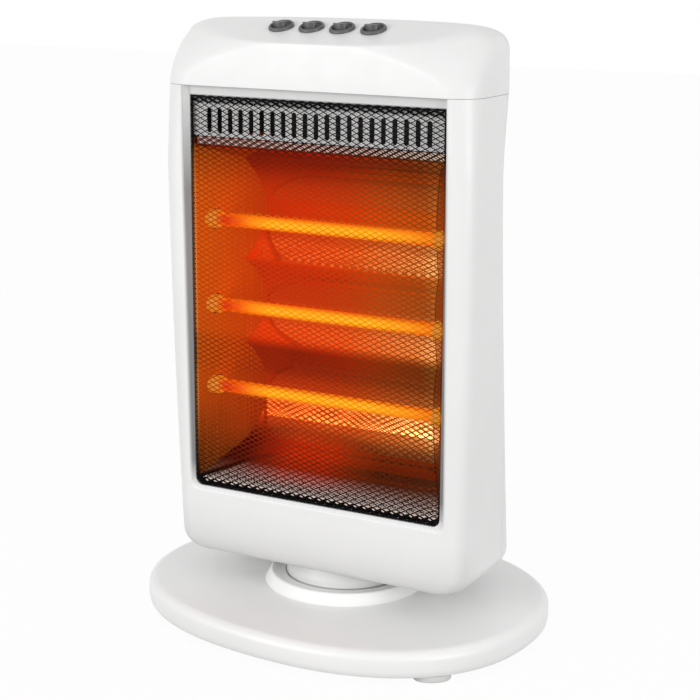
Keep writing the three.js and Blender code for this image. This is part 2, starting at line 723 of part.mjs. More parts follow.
// The rocker's pivot is at its own origin; a V-shaped top gives each end a face to press.
function rocker() {
  const profile = [
    [-7.4, 3.6],
    [-6.4, -3.2],
    [0, -5.2],
    [6.4, -3.2],
    [7.4, 3.6],
    [0, 1.2],
  ];
  const wedge = sideways(profile, -5.4, 5.4);
  return wedge.intersect(rod(7.5, -10, 10, 0, 0, 20));
}

const ROCKER_PIVOT_DEPTH = 2.2;

function buildControls(body) {
  SWITCH_PLACES.forEach((x, i) => {
    const group = switchGroup(x);
    body.add(group);
    add(`switch_housing_${i + 1}`, switchHousing(), "darkGrey", group);
    const key = add(`rocker_${i + 1}`, rocker(), "darkGrey", group);
    key.position.z = -ROCKER_PIVOT_DEPTH;
    key.rotation.x = -THREE.MathUtils.degToRad(ROCKER_THROW_DEG / 2);
  });
}

// A shallow pan of slit and stretched sheet: staggered diamond gaps inside a folded edge.
function guardMesh() {
  const half = LIP_HALF - 0.5;
  const fold = 1.2;
  const shape = roundedRectangle(half, GUARD_BOTTOM, GUARD_TOP, WINDOW_CORNER_R);
  const border = 4;
  const pitchX = (2 * (half - border)) / GUARD_COLUMNS;
  const pitchZ = (GUARD_TOP - GUARD_BOTTOM - 2 * border) / GUARD_ROWS;
  const strand = 1.3; // half the width of a strand, across the diamond's corners
  const gapX = pitchX / 2 - strand * 1.6;
  const gapZ = pitchZ / 2 - strand;
  const diamond = (x, z) => {
    const hole = new THREE.Path();
    hole.moveTo(x + gapX, z);
    hole.lineTo(x, z - gapZ);
    hole.lineTo(x - gapX, z);
    hole.lineTo(x, z + gapZ);
    shape.holes.push(hole);
  };
  for (let row = 0; row < GUARD_ROWS; row++) {
    for (let column = 0; column < GUARD_COLUMNS; column++) {
      const x = -half + border + (column + 0.5) * pitchX;
      const z = GUARD_BOTTOM + border + (row + 0.5) * pitchZ;
      diamond(x, z);
      const between = row < GUARD_ROWS - 1 && column < GUARD_COLUMNS - 1;
      if (between) diamond(x + pitchX / 2, z + pitchZ / 2);
    }
  }
  const sheet = upright(shape, GUARD_FRONT_Y, GUARD_FRONT_Y + fold, 3);
  const foldRear = REFLECTOR_FRONT_Y - GAP;
  const outline = roundedRectangle(half, GUARD_BOTTOM, GUARD_TOP, WINDOW_CORNER_R);
  const rim = upright(outline, GUARD_FRONT_Y, foldRear, 3);
  const [low, high] = [GUARD_BOTTOM + fold, GUARD_TOP - fold];
  const inner = roundedRectangle(half - fold, low, high, WINDOW_CORNER_R - fold);
  return sheet.add(rim.subtract(upright(inner, -80, -40, 3)));
}

function ventPanel() {
  const shape = roundedRectangle(LIP_HALF - 0.5, 415.2, GUARD_TOP, 1);
  const [slots, pitch, halfWidth, z0, z1] = [21, 10.1, 1.8, 418.5, 438.5];
  for (let i = 0; i < slots; i++) {
    const x = (i - (slots - 1) / 2) * pitch;
    const hole = new THREE.Path();
    hole.absarc(x, z0 + halfWidth, halfWidth, Math.PI, 2 * Math.PI);
    hole.absarc(x, z1 - halfWidth, halfWidth, 0, Math.PI);
    shape.holes.push(hole);
  }
  return upright(shape, REFLECTOR_FRONT_Y, REFLECTOR_FRONT_Y + 1.6, 1);
}

// Half-width of the space between the flared side walls, at a depth y.
function reflectorHalf(y) {
  const front = LIP_HALF - 1.2;
  return front - 0.62 * (y - REFLECTOR_FRONT_Y);
}

// The reflector's section: front flange, sloping top, one trough per tube, sloping bottom, front flange.
function reflectorSection() {
  const steps = 8;
  const ridges = [394, ...TUBE_HEIGHTS.slice(1).map((z, i) => (z + TUBE_HEIGHTS[i]) / 2), 148];
  const line = [[REFLECTOR_FRONT_Y, 414.4], [REFLECTOR_FRONT_Y, 407], [CUSP_Y, ridges[0]]];
  for (let trough = 0; trough < TUBE_HEIGHTS.length; trough++) {
    const [top, bottom] = [ridges[trough], ridges[trough + 1]];
    for (let i = 1; i <= steps; i++) {
      const t = i / steps;
      line.push([CUSP_Y + (TROUGH_Y - CUSP_Y) * (1 - (2 * t - 1) ** 2), top + (bottom - top) * t]);
    }
  }
  line.push([REFLECTOR_FRONT_Y, 121], [REFLECTOR_FRONT_Y, GUARD_BOTTOM + 0.6]);
  return line;
}

function thickened(line, thickness) {
  const behind = line.map(([y, z], i) => {
    const [y0, z0] = line[Math.max(0, i - 1)];
    const [y1, z1] = line[Math.min(line.length - 1, i + 1)];
    const length = Math.hypot(y1 - y0, z1 - z0);
    return [y - ((z1 - z0) / length) * thickness, z + ((y1 - y0) / length) * thickness];
  });
  return [...line, ...behind.reverse()];
}

function reflector() {
  const section = thickened(reflectorSection(), SHEET).reverse();
  const sheet = sideways(section, -LIP_HALF, LIP_HALF);
  const inner = new THREE.Shape();
  const [y0, y1] = [REFLECTOR_FRONT_Y - 1, TROUGH_Y + 6];
  const clearance = GAP + 0.1;
  inner.moveTo(-reflectorHalf(y0) + clearance, y0);
  inner.lineTo(reflectorHalf(y0) - clearance, y0);
  inner.lineTo(reflectorHalf(y1) - clearance, y1);
  inner.lineTo(-reflectorHalf(y1) + clearance, y1);
  return sheet.intersect(plate(inner, 60, 480)).intersect(behindWindow());
}

// The room behind the window's lip, a little smaller than the window.
function behindWindow() {
  const shape = roundedRectangle(LIP_HALF - GAP, WINDOW_BOTTOM + 2.9 + GAP, 470, WINDOW_CORNER_R);
  return upright(shape, -60, 40, 4);
}

function holderSolid(side, z) {
  const [x0, x1] = [101, 120];
  const body = side > 0 ? block(x0, x1, TUBE_Y - 8, TUBE_Y + 8, z - 11, z + 11)
    : block(-x1, -x0, TUBE_Y - 8, TUBE_Y + 8, z - 11, z + 11);
  const socket = rodAlong("x", TUBE_R + GAP + 0.1, side * 90 - 20, side * 90 + 20, [TUBE_Y, z], 16);
  return body.subtract(socket);
}

function reflectorSide(side) {
  const [y0, y1] = [REFLECTOR_FRONT_Y, TROUGH_Y + 4];
  const shape = new THREE.Shape();
  shape.moveTo(side * reflectorHalf(y0), y0);
  shape.lineTo(side * reflectorHalf(y1), y1);
  shape.lineTo(side * (reflectorHalf(y1) + SHEET), y1);
  shape.lineTo(side * (reflectorHalf(y0) + SHEET), y0);
  const wall = plate(shape, GUARD_BOTTOM + 0.6, 414);
  const [x0, x1] = [side * 108 - 16, side * 108 + 16];
  const windows = TUBE_HEIGHTS.map((z) => block(x0, x1, TUBE_Y - 9, TUBE_Y + 9, z - 12, z + 12));
  return cut(wall, windows).intersect(behindWindow());
}

// A folded sheet round the reflector: back plate and two side flanges up to the window's lip.
function heatShield() {
  const [half, backY, frontY] = [121.6, 17, LIP_REAR_Y + GAP];
  const shape = new THREE.Shape();
  shape.moveTo(-half, frontY);
  shape.lineTo(-half + SHEET, frontY);
  shape.lineTo(-half + SHEET, backY - 20);
  shape.lineTo(-half + 20, backY);
  shape.lineTo(half - 20, backY);
  shape.lineTo(half - SHEET, backY - 20);
  shape.lineTo(half - SHEET, frontY);
  shape.lineTo(half, frontY);
  shape.lineTo(half, backY - 19.6);
  shape.lineTo(half - 19.6, backY + SHEET);
  shape.lineTo(-half + 19.6, backY + SHEET);
  shape.lineTo(-half, backY - 19.6);
  return plate(shape, 118, 440);
}

function quartzTube(z) {
  const bore = TUBE_R - 1.2;
  const profile = [
    [bore, -TUBE_HALF],
    [TUBE_R, -TUBE_HALF],
    [TUBE_R, TUBE_HALF],
    [bore, TUBE_HALF],
    [bore, -TUBE_HALF],
  ];
  return turned(profile, 14).rotate([0, 90, 0]).translate([0, TUBE_Y, z]);
}

// The straight coil, as its outer cylinder, with the discs that hold it off the quartz.
function filament(z) {
  const half = TUBE_HALF - 3;
  const [coilR, discR, discHalf] = [1.6, TUBE_R - 1.7, 0.4];
  const profile = [[0, -half], [coilR, -half]];
  for (const x of [-55, 0, 55]) {
    const [x0, x1] = [x - discHalf, x + discHalf];
    profile.push([coilR, x0], [discR, x0], [discR, x1], [coilR, x1]);
  }
  profile.push([coilR, half], [0, half]);
  return turned(profile, 6).rotate([0, 90, 0]).translate([0, TUBE_Y, z]);
}

function neck() {
  const floorTop = 38.0;
  const shoulderTop = NECK_SHOULDER + WALL;
  const spigotBottom = BEARING_WALL_TOP - WALL;
  const flangeZ = BODY_BOTTOM + WALL + GAP;
  const profile = [
    [7.5, spigotBottom],
    [SPIGOT_R, spigotBottom],
    [SPIGOT_R, NECK_SHOULDER],
    [NECK_R, NECK_SHOULDER],
    [NECK_R, 44],
    [NECK_TOP_R, 53],
    [NECK_TOP_R, flangeZ],
    [NECK_TOP_R + 7, flangeZ],
    [NECK_TOP_R + 7, flangeZ + WALL],
    [NECK_TOP_R - WALL, flangeZ + WALL],
    [NECK_TOP_R - WALL, 53],
    [NECK_R - 3, 45],
    [NECK_R - 3, shoulderTop],
    [SPIGOT_R - WALL, shoulderTop],
    [SPIGOT_R - WALL, floorTop],
    [7.5, floorTop],
    [7.5, spigotBottom],
  ];
  const reach = 80;
  const belowFlange = block(-reach, reach, -reach, reach, 30, flangeZ - 0.1);
  const behindFrontWall = block(-reach, reach, 1 - NECK_TOP_R, reach, 50, 70).add(belowFlange);
  const body = turned(profile, COLLAR_SIDES).intersect(behindFrontWall);
  const shaftHole = rod(4, 30, 40, 0, CRANK_OFFSET, 12);
  const screwHoles = RETAINER_SCREWS.map(([x, y]) => rod(SCREW_HOLE_R, 30, 40, x, y, 8));
  return cut(body, [shaftHole, ...screwHoles]);
}

const RETAINER_TOP = BEARING_WALL_TOP - WALL - GAP;
const RETAINER_BOTTOM = RETAINER_TOP - WALL;
const RETAINER_SCREWS = [-90, 30, 150].map((deg) => {
  const angle = THREE.MathUtils.degToRad(deg);
  return [43.5 * Math.cos(angle), 43.5 * Math.sin(angle)];
});

function pivotRetainer() {
  const [inner, outer] = [39, 53];
  const ring = turned([
    [inner, RETAINER_BOTTOM],
    [outer, RETAINER_BOTTOM],
    [outer, RETAINER_TOP],
    [inner, RETAINER_TOP],
    [inner, RETAINER_BOTTOM],
  ], COLLAR_SIDES);
  return cut(ring, RETAINER_SCREWS.map(([x, y]) => rod(SCREW_HOLE_R, 20, 40, x, y, 8)));
}

const MOTOR_Z = [38.3, 52];
const MOTOR_R = 18.4;

function oscillationMotor() {
  const can = rod(MOTOR_R, MOTOR_Z[0] + 1, MOTOR_Z[1], 0, CRANK_OFFSET, 24);
  const ears = new THREE.Shape();
  ears.absarc(24, CRANK_OFFSET, 4, -Math.PI / 2, Math.PI / 2);
  ears.absarc(-24, CRANK_OFFSET, 4, Math.PI / 2, 1.5 * Math.PI);
  const flange = plate(ears, MOTOR_Z[0], MOTOR_Z[0] + 1.2, 5);
  const shaftBore = rod(3.3, 30, MOTOR_Z[0] + 6, 0, CRANK_OFFSET, 12);
  return can.add(flange).subtract(shaftBore);
}

// About its own shaft, with the pin out along +Y.
function crankDisc() {
  const discZ = [27.6, 30.6];
  const disc = rod(CRANK_R + 3.4, ...discZ, 0, 0, 24);
  const shaft = rod(2.9, discZ[0] + 1, MOTOR_Z[0] + 5, 0, 0, 12);
  const pin = rod(PIN_R, DRIVE_PLATE_Z[0] - 0.5, discZ[0] + 1, 0, CRANK_R, 12);
  return union([disc, shaft, pin]);
}

function thermalCutout() {
  const y0 = 17 + SHEET + GAP;
  return rodAlong("y", 8, y0, y0 + 7, [30, 372], 16).add(block(20, 40, y0, y0 + 1.5, 369, 375));
}

const TERMINAL_Z = [62, 78];

function terminalBlock() {
  const base = block(-20, 20, -8, 8, ...TERMINAL_Z);
  const [z0, z1] = [TERMINAL_Z[1] - 5, TERMINAL_Z[1] + 1];
  const grooves = [-12, -4, 4, 12].map((x) => block(x - 2.6, x + 2.6, -12, -3, z0, z1));
  return cut(base, grooves);
}

// The loom from the terminal block up behind the heat shield to the switches, with a riser to each side.
function bodyWiring() {
  const rear = 28;
  const [busY, busZ] = [-30.5, 468];
  const upTheRear = [[0, 8.4, 70], [0, 24, 72], [0, rear, 100], [0, rear, 260], [0, rear, 430]];
  const trunk = tubeAlong([...upTheRear, [0, 12, 462], [0, -30, busZ]], 2.6, 14, 6);
  const bus = rodAlong("x", 2.2, -45, 45, [busY, busZ], 6);
  const drops = SWITCH_PLACES.map((x) => rod(1.6, busZ, 485.2, x, busY, 6));
  const risers = [-1, 1].map((side) => {
    const [x, y] = [side * 114.5, -16];
    const across = [[0, rear, 110], [side * 60, rear - 4, 102], [side * 112, 12, 104]];
    return tubeAlong([...across, [x, y, 130], [x, y, 240], [x, y, 352]], 1.6, 8, 4);
  });
  return union([trunk, bus, ...drops, ...risers]);
}

function buildBody(body) {
  add("front_frame", frontFrame(), "white", body);
  add("rear_cover", rearCover(), "white", body);
  add("top_cover", topCover(), "white", body);
  add("neck", neck(), "white", body);
  add("pivot_retainer", pivotRetainer(), "steel", body);
  RETAINER_SCREWS.forEach(([x, y], i) => {
    const screw = add(`retainer_screw_${i + 1}`, screwSolid(5.4), "steel", body);
    screw.position.set(x, y, RETAINER_BOTTOM - GAP - SCREW_HEAD_HEIGHT);
  });
  add("guard_mesh", guardMesh(), "black", body);
  add("vent_panel", ventPanel(), "panelWhite", body);
  add("reflector", reflector(), "mirror", body);
  add("reflector_side_left", reflectorSide(-1), "mirror", body);
  add("reflector_side_right", reflectorSide(1), "mirror", body);
  add("heat_shield", heatShield(), "steel", body);
  TUBE_HEIGHTS.forEach((z, i) => {
    add(`quartz_tube_${i + 1}`, quartzTube(z), "quartz", body);
    add(`filament_${i + 1}`, filament(z), "tungsten", body);
    add(`lamp_holder_left_${i + 1}`, holderSolid(-1, z), "ceramic", body);
    add(`lamp_holder_right_${i + 1}`, holderSolid(1, z), "ceramic", body);
  });
  add("oscillation_motor", oscillationMotor(), "steel", body);
  const crank = add("crank_disc", crankDisc(), "rubber", body);
  crank.position.y = CRANK_OFFSET;
  crank.rotation.z = CRANK_RATIO * THREE.MathUtils.degToRad(SWUNG_DEG);
  add("thermal_cutout", thermalCutout(), "black", body);
  add("terminal_block", terminalBlock(), "ceramic", body);
  add("body_wiring", bodyWiring(), "cable", body);
  REAR_SCREWS.forEach(([x, z], i) => {
    const screw = add(`rear_screw_${i + 1}`, screwSolid(16), "steel", body);
    screw.position.set(x, seamY(z) + REAR_SCREW_FLOOR + GAP + SCREW_HEAD_HEIGHT, z);
    screw.rotation.x = Math.PI / 2;
  });
  buildControls(body);
}

const base = new THREE.Group();
base.name = "base";
base.rotation.z = -THREE.MathUtils.degToRad(SWUNG_DEG);
heater.add(base);
buildBase(base);

const body = new THREE.Group();
body.name = "body";
heater.add(body);
buildBody(body);

export default heater;
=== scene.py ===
"""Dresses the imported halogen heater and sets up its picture.

Metres, +Z up; the front of the heater looks along -Y. The measures in capitals are the heater's own. The body
stands 5 degrees round in its swing, so the base is turned under it.
"""

import math

import bpy
from mathutils import Matrix, Vector


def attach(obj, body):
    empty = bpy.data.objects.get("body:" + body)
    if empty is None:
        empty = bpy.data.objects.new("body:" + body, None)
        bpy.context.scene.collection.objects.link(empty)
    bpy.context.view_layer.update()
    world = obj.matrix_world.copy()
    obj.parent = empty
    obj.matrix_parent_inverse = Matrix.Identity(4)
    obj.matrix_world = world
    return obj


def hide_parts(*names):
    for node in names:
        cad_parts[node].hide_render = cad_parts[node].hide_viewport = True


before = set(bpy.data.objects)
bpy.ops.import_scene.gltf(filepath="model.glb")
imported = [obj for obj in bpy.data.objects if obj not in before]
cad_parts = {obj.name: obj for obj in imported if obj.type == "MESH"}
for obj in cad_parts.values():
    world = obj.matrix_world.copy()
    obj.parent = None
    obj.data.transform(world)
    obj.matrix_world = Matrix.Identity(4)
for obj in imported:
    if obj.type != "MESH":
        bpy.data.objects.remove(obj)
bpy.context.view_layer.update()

# ---- the heater's measures

GAP = 0.0003
WALL = 0.0025
SHEET = 0.001
FAR = 0.3  # past the body on every side
SIDES = (("left", -1), ("right", 1))
SCREW_HOLE_R = 0.0018

BASE_HALF_X = 0.1788
BASE_HALF_Y = 0.1415
BASE_POWER = 2.3
BASE_TURN = math.radians(-5)
FOOT_HALF = (0.0155, 0.0095)
FOOT_HEIGHT = 0.0057
FOOT_PLACE = (0.138, 0.082)
FOOT_TURN = math.radians(38)
RIM_BOTTOM = 0.006
RIM_TOP = 0.028
CROWN_TOP = 0.031
COLLAR_FOOT_R = 0.0707
COLLAR_RIM_R = 0.0655
COLLAR_TOP = 0.0405
BEARING_WALL_TOP = 0.037
NECK_R = 0.0515
NECK_TOP_R = 0.047
SPIGOT_R = 0.0464
NECK_SHOULDER = 0.0388
GLAND_Z = 0.016
GLAND_R = 0.006
SCREW_POSTS = ((0.105, 0.075), (-0.105, 0.075), (-0.105, -0.075), (0.105, -0.075))
DRIVE_POSTS = ((0.050, 0.032), (-0.050, 0.032))
DRIVE_PLATE_Z = (0.022, 0.025)

BODY_BOTTOM = 0.054
BODY_BOTTOM_R = 0.016
COVER_SEAM = 0.4575
BODY_TOP = 0.5106
WIDEST_Z = 0.380
WIDEST_HALF = 0.1426
WIDTH_TAPER = 0.0051
TAPER_SPAN = 0.3
FRONT_Y = -0.0576
FRONT_LEAN = 0.0199
FRONT_CORNER_R = 0.015
CORNER_GROWTH = 0.0085
WAIST_Z = 0.3935
WAIST_Y = 0.0641
REAR_FLARE = 0.0382
REAR_FLARE_SPAN = 0.317
COVER_FLARE = 0.0072
COVER_FLARE_SPAN = 0.06
REAR_DEPTH = 0.080
REAR_DEPTH_LOSS = 0.75
BOTTOM_DRAW_IN_FRONT = 0.4
BOW_SHARE = 0.75
BOW_DEPTH = 0.025
TOP_ROUND_START = 0.483
TOP_ROUND_POWER = 3.9
TOP_ROUND_SIDE = 0.063
TOP_ROUND_REAR = 0.090
TOP_ROUND_FRONT = 0.025
SEAM_Y_TOP = -0.0015
SEAM_LEAN = 0.064
REAR_SCREWS = ((0.128, 0.430), (-0.128, 0.430), (0.124, 0.092), (-0.124, 0.092))
REAR_SCREW_FLOOR = 0.009
HANDLE_Z = (0.404, 0.436)
HANDLE_HALF = 0.052
HANDLE_DEPTH = 0.024
HANDLE_CORNER_R = 0.010
LOUVRE_ROWS = 5
LOUVRE_BOTTOM = 0.160
LOUVRE_PITCH = 0.016
LOUVRE_HEIGHT = 0.0036
LOUVRE_CENTRES = (-0.044, 0.044)
LOUVRE_HALF = 0.040

WINDOW_HALF = 0.1201
WINDOW_BOTTOM = 0.1106
WINDOW_CORNER_R = 0.007
WINDOW_EDGE_R = 0.0014
LIP_HALF = 0.1173
LIP_BOTTOM = WINDOW_BOTTOM + 0.0029
LIP_REAR_Y = -0.052
GUARD_HALF = LIP_HALF - 0.0005
GUARD_FRONT_Y = -0.0572
GUARD_TOP = 0.4486
GUARD_BOTTOM = 0.114
HEM_WIDTH = 0.0011
MESH_PITCH_X = 0.0086
MESH_PITCH_Z = 0.0043
STRAND_WIDTH = 0.00078
DOUBLED_WIDTH = 0.0011
DOUBLED_BAND = 0.0036
STRAND_THICKNESS = 0.0005
STRAND_TILT = math.radians(24)
VENT_SLOTS = 21
VENT_PITCH = 0.0101
VENT_HALF = 0.0023

TUBE_HEIGHTS = (0.344, 0.271, 0.200)
TUBE_Y = -0.038
TUBE_R = 0.0055
TUBE_HALF = 0.109
HOLDER_R = 0.0078
HOLDER_TIP = 0.101
HOLDER_STEP = 0.0145
HOLDER_BLOCK = (0.1135, 0.120)
COIL_R = 0.0029
COIL_WIRE_R = 0.00055
COIL_TURNS = 140
SUPPORT_PLACES = (-0.055, 0.0, 0.055)
RIDGE_TOP = 0.394
RIDGE_BOTTOM = 0.148
CUSP_Y = -0.015
TROUGH_Y = 0.003
REFLECTOR_FRONT_Y = -0.0537
SIDE_FLARE = 0.62

PANEL_FRONT = Vector((0, -0.064, 0.4948))
PANEL_TILT = math.radians(19.4)
PANEL_EDGE_R = 0.0034
PANEL_EDGE_GROWTH = 0.0065
FLAT_EDGE_HALF = 0.055
SPINE_HALF = 0.066
SPINE_STEP = 0.005
SWITCH_PITCH = 0.028
SWITCH_Y = -0.036
SWITCH_PLACES = tuple(step * SWITCH_PITCH for step in (-1.5, -0.5, 0.5, 1.5))
BEZEL_R = 0.0106
BARREL_R = 0.0094
WELL_R = 0.0082
KEY_HALF = 0.0056
KEY_END = 0.0074
ROCKER_REST = math.radians(-10)
ROCKER_PIVOT_DEPTH = 0.0022

# How finely curves are drawn, in points or steps.
BASE_POINTS = 160
CORNER_STEPS = 12
REAR_STEPS = 34
WALL_STEPS = 26
EDGE_STEPS = 10
CAP_STEPS = 6
TROUGH_STEPS = 24
REFLECTOR_COLUMNS = 24
COIL_STEPS = 10
LARGE_TURN = 128
ON_AXIS = 0.00002

# ---- the picture

IMAGE_SIDE = 700
FOCAL_PIXELS = 1734.1
SENSOR_WIDTH = 36.0
CAMERA_YAW = math.radians(28.69)
CAMERA_PITCH = math.radians(13.52)
CAMERA_ROLL = math.radians(0.32)
CAMERA_DISTANCE = 1.4689
CAMERA_TARGET = Vector((0.0028, 0.0, 0.2352))
AMBIENT = 0.62
FLOOR_HALF = 6.0
FLOOR_WHITE_SHARE = 0.93
FLOOR_GLOW = 1.03
FLOOR_GREY = 0.5


def link_to_scene(name, data):
    made = bpy.data.objects.new(name, data)
    bpy.context.scene.collection.objects.link(made)
    return made


def add_camera():
    data = bpy.data.cameras.new("camera")
    data.sensor_width = SENSOR_WIDTH
    data.lens = FOCAL_PIXELS / IMAGE_SIDE * SENSOR_WIDTH
    data.clip_start = 0.05
    data.clip_end = 50
    cosine = math.cos(CAMERA_PITCH)
    back = Vector((math.sin(CAMERA_YAW) * cosine, -math.cos(CAMERA_YAW) * cosine, math.sin(CAMERA_PITCH)))
    right = Vector((math.cos(CAMERA_YAW), math.sin(CAMERA_YAW), 0))
    up = back.cross(right)
    rolled_right = right * math.cos(CAMERA_ROLL) + up * math.sin(CAMERA_ROLL)
    rolled_up = up * math.cos(CAMERA_ROLL) - right * math.sin(CAMERA_ROLL)
    camera = link_to_scene("camera", data)
    axes = Matrix((rolled_right, rolled_up, back)).transposed().to_4x4()
    camera.matrix_world = Matrix.Translation(CAMERA_TARGET + back * CAMERA_DISTANCE) @ axes
    bpy.context.scene.camera = camera


def add_area_light(name, place, target, size, power):
    data = bpy.data.lights.new(name, "AREA")
    data.shape = "RECTANGLE"
    data.size, data.size_y = size
    data.energy = power
    light = link_to_scene(name, data)
    light.location = place
    light.rotation_euler = (Vector(target) - Vector(place)).to_track_quat("-Z", "Y").to_euler()


def connect(tree, socket, value):
    """Gives a socket a plain value, a colour of three channels or another node's output."""
    if isinstance(value, bpy.types.NodeSocket):
        tree.links.new(value, socket)
    else:
        socket.default_value = (*value, 1) if socket.type == "RGBA" else value


def add_node(tree, kind, inputs, **settings):
    made = tree.nodes.new(kind)
    for key, value in settings.items():
        setattr(made, key, value)
    for key, value in inputs.items():
        connect(tree, made.inputs[key], value)
    return made


def seen_by(tree, *rays):
    """A share that is 1 for light paths of these kinds and 0 for others."""
    path = add_node(tree, "ShaderNodeLightPath", {})
    share = path.outputs[rays[0]]
    for ray in rays[1:]:
        either = add_node(tree, "ShaderNodeMath", {0: share, 1: path.outputs[ray]}, operation="MAXIMUM")
        share = either.outputs[0]
    return share


def mix_into(tree, output_kind, share, unseen, seen):
    """Ends a tree with a mix of two shaders by a share."""
    inputs = {"Fac": share, 1: unseen.outputs[0], 2: seen.outputs[0]}
    mix = add_node(tree, "ShaderNodeMixShader", inputs)
    add_node(tree, output_kind, {"Surface": mix.outputs[0]})


def add_world():
    """Soft even light from all round; cameras, gloss and glass see a white backdrop instead."""
    world = bpy.data.worlds.new("studio")
    bpy.context.scene.world = world
    world.use_nodes = True
    tree = world.node_tree
    tree.nodes.clear()
    light = add_node(tree, "ShaderNodeBackground", {"Color": (1, 1, 1), "Strength": AMBIENT})
    white = add_node(tree, "ShaderNodeBackground", {"Color": (1, 1, 1), "Strength": 1})
    share = seen_by(tree, "Is Camera Ray", "Is Glossy Ray", "Is Transmission Ray")
    mix_into(tree, "ShaderNodeOutputWorld", share, light, white)


def add_floor():
    """A white floor that fades into the backdrop and keeps a soft shadow under the heater."""
    mesh = bpy.data.meshes.new("floor")
    corners = [(x * FLOOR_HALF, y * FLOOR_HALF, 0) for x, y in ((-1, -1), (1, -1), (1, 1), (-1, 1))]
    mesh.from_pydata(corners, [], [(0, 1, 2, 3)])
    floor = link_to_scene("floor", mesh)
    material = bpy.data.materials.new("floor")
    material.use_nodes = True
    tree = material.node_tree
    tree.nodes.clear()
    inputs = {0: seen_by(tree, "Is Camera Ray", "Is Glossy Ray"), 1: FLOOR_WHITE_SHARE}
    share = add_node(tree, "ShaderNodeMath", inputs, operation="MULTIPLY")
    lit = add_node(tree, "ShaderNodeBsdfDiffuse", {"Color": (FLOOR_GREY, FLOOR_GREY, FLOOR_GREY)})
    glow = add_node(tree, "ShaderNodeEmission", {"Color": (1, 1, 1), "Strength": FLOOR_GLOW})
    mix_into(tree, "ShaderNodeOutputMaterial", share.outputs[0], lit, glow)
    mesh.materials.append(material)


# ---- materials


class Finish:
    """A procedural material round one Principled shader, with coordinates in the heater's own metres."""

    def __init__(self, name, color, roughness, metallic=0.0, **sockets):
        self.material = bpy.data.materials.new(name)
        self.material.use_nodes = True
        self.tree = self.material.node_tree
        self.shader = self.tree.nodes["Principled BSDF"]
        self.give("Base Color", color)
        self.give("Roughness", roughness)
        self.give("Metallic", metallic)
        for socket, value in sockets.items():
            self.give(socket.replace("_", " "), value)
        self.normal = None
        self.place = self.node("ShaderNodeTexCoord", "Object")

    def give(self, socket, value):
        connect(self.tree, self.shader.inputs[socket], value)

    def node(self, kind, output, inputs=None, **settings):
        return add_node(self.tree, kind, inputs or {}, **settings).outputs[output]

    def noise(self, scale, detail=2.0, stretch=None):
        """Cloudy noise; a stretch gives its own scale along each axis."""
        place = self.place
        if stretch:
            place = self.node("ShaderNodeMapping", "Vector", {"Vector": place, "Scale": stretch})
        return self.node("ShaderNodeTexNoise", "Fac", {"Vector": place, "Scale": scale, "Detail": detail})

    def ramp(self, value, stops):
        """A colour ramp with stops of (position, linear colour or grey level)."""
        ramp = add_node(self.tree, "ShaderNodeValToRGB", {"Fac": value})
        elements = ramp.color_ramp.elements
        while len(elements) < len(stops):
            elements.new(1.0)
        for element, (position, color) in zip(elements, stops):
            element.position = position
            element.color = (*color, 1) if isinstance(color, tuple) else (color, color, color, 1)
        return ramp.outputs["Color"]

    def spread(self, value, low, high):
        """Maps a noise value from its usual 0.3..0.7 to low..high."""
        ends = {"From Min": 0.3, "From Max": 0.7, "To Min": low, "To Max": high}
        return self.node("ShaderNodeMapRange", "Result", {"Value": value, **ends})

    def axis(self, name):
        return self.node("ShaderNodeSeparateXYZ", name, {"Vector": self.place})

    def math(self, operation, first, second=0.0):
        return self.node("ShaderNodeMath", "Value", {0: first, 1: second}, operation=operation)

    def times(self, first, second):
        return self.math("MULTIPLY", first, second)

    def curve(self, value, low, high, stops):
        """A colour or grey level along an axis or a value, from stops of (metres, colour or level)."""
        if isinstance(value, str):
            value = self.axis(value)
        share = self.math("DIVIDE", self.math("SUBTRACT", value, low), high - low)
        return self.ramp(share, [((at - low) / (high - low), level) for at, level in stops])

    def blend(self, share, first, second):
        """From the first colour to the second, a plain one, as the share goes from 0 to 1."""
        return self.node("ShaderNodeMix", 2, {0: share, 6: first, 7: second}, data_type="RGBA")

    def mottle(self, scale, detail, low, dark, high, light):
        """A base colour that goes from dark to light with the noise."""
        self.give("Base Color", self.ramp(self.noise(scale, detail), [(low, dark), (high, light)]))

    def glow(self, color, strength):
        self.give("Emission Color", color)
        self.give("Emission Strength", strength)

    def rough(self, noise, low, high):
        self.give("Roughness", self.spread(noise, low, high))

    def bump(self, height, distance, strength):
        """A bump on top of those set before."""
        inputs = {"Distance": distance, "Strength": strength, "Height": height}
        if self.normal is not None:
            inputs["Normal"] = self.normal
        self.normal = self.node("ShaderNodeBump", "Normal", inputs)
        self.give("Normal", self.normal)


def scaled(color, factor):
    return tuple(min(1.0, channel * factor) for channel in color)


# The grey that the frame's painted shade goes to.
PAINTED_SHADE_GREY = 0.28
ACROSS = (-0.12, 0.12)


def lip_painted_shade(finish):
    """Painted shade on the frame: greyer where it turns in to the guard at both sides, and a little low on
    its front.
    """
    across = [(0.1172, 1.0), (0.1194, 1.0), (0.1210, 0.55), (0.1228, 0.0)]
    up = [(0.112, 0.0), (0.135, 1.0), (0.370, 1.0), (0.445, 0.3)]
    low = [(0.054, 0.34), (0.064, 0.26), (0.082, 0.10), (0.100, 0.0)]
    across = finish.curve(finish.math("ABSOLUTE", finish.axis("X")), 0.110, 0.130, across)
    sides = finish.times(across, finish.curve("Z", 0.100, 0.460, up))
    ahead = finish.curve("Y", -0.070, 0.0, [(-0.050, 1.0), (-0.020, 0.0)])
    return finish.math("MAXIMUM", sides, finish.times(finish.curve("Z", 0.050, 0.110, low), ahead))


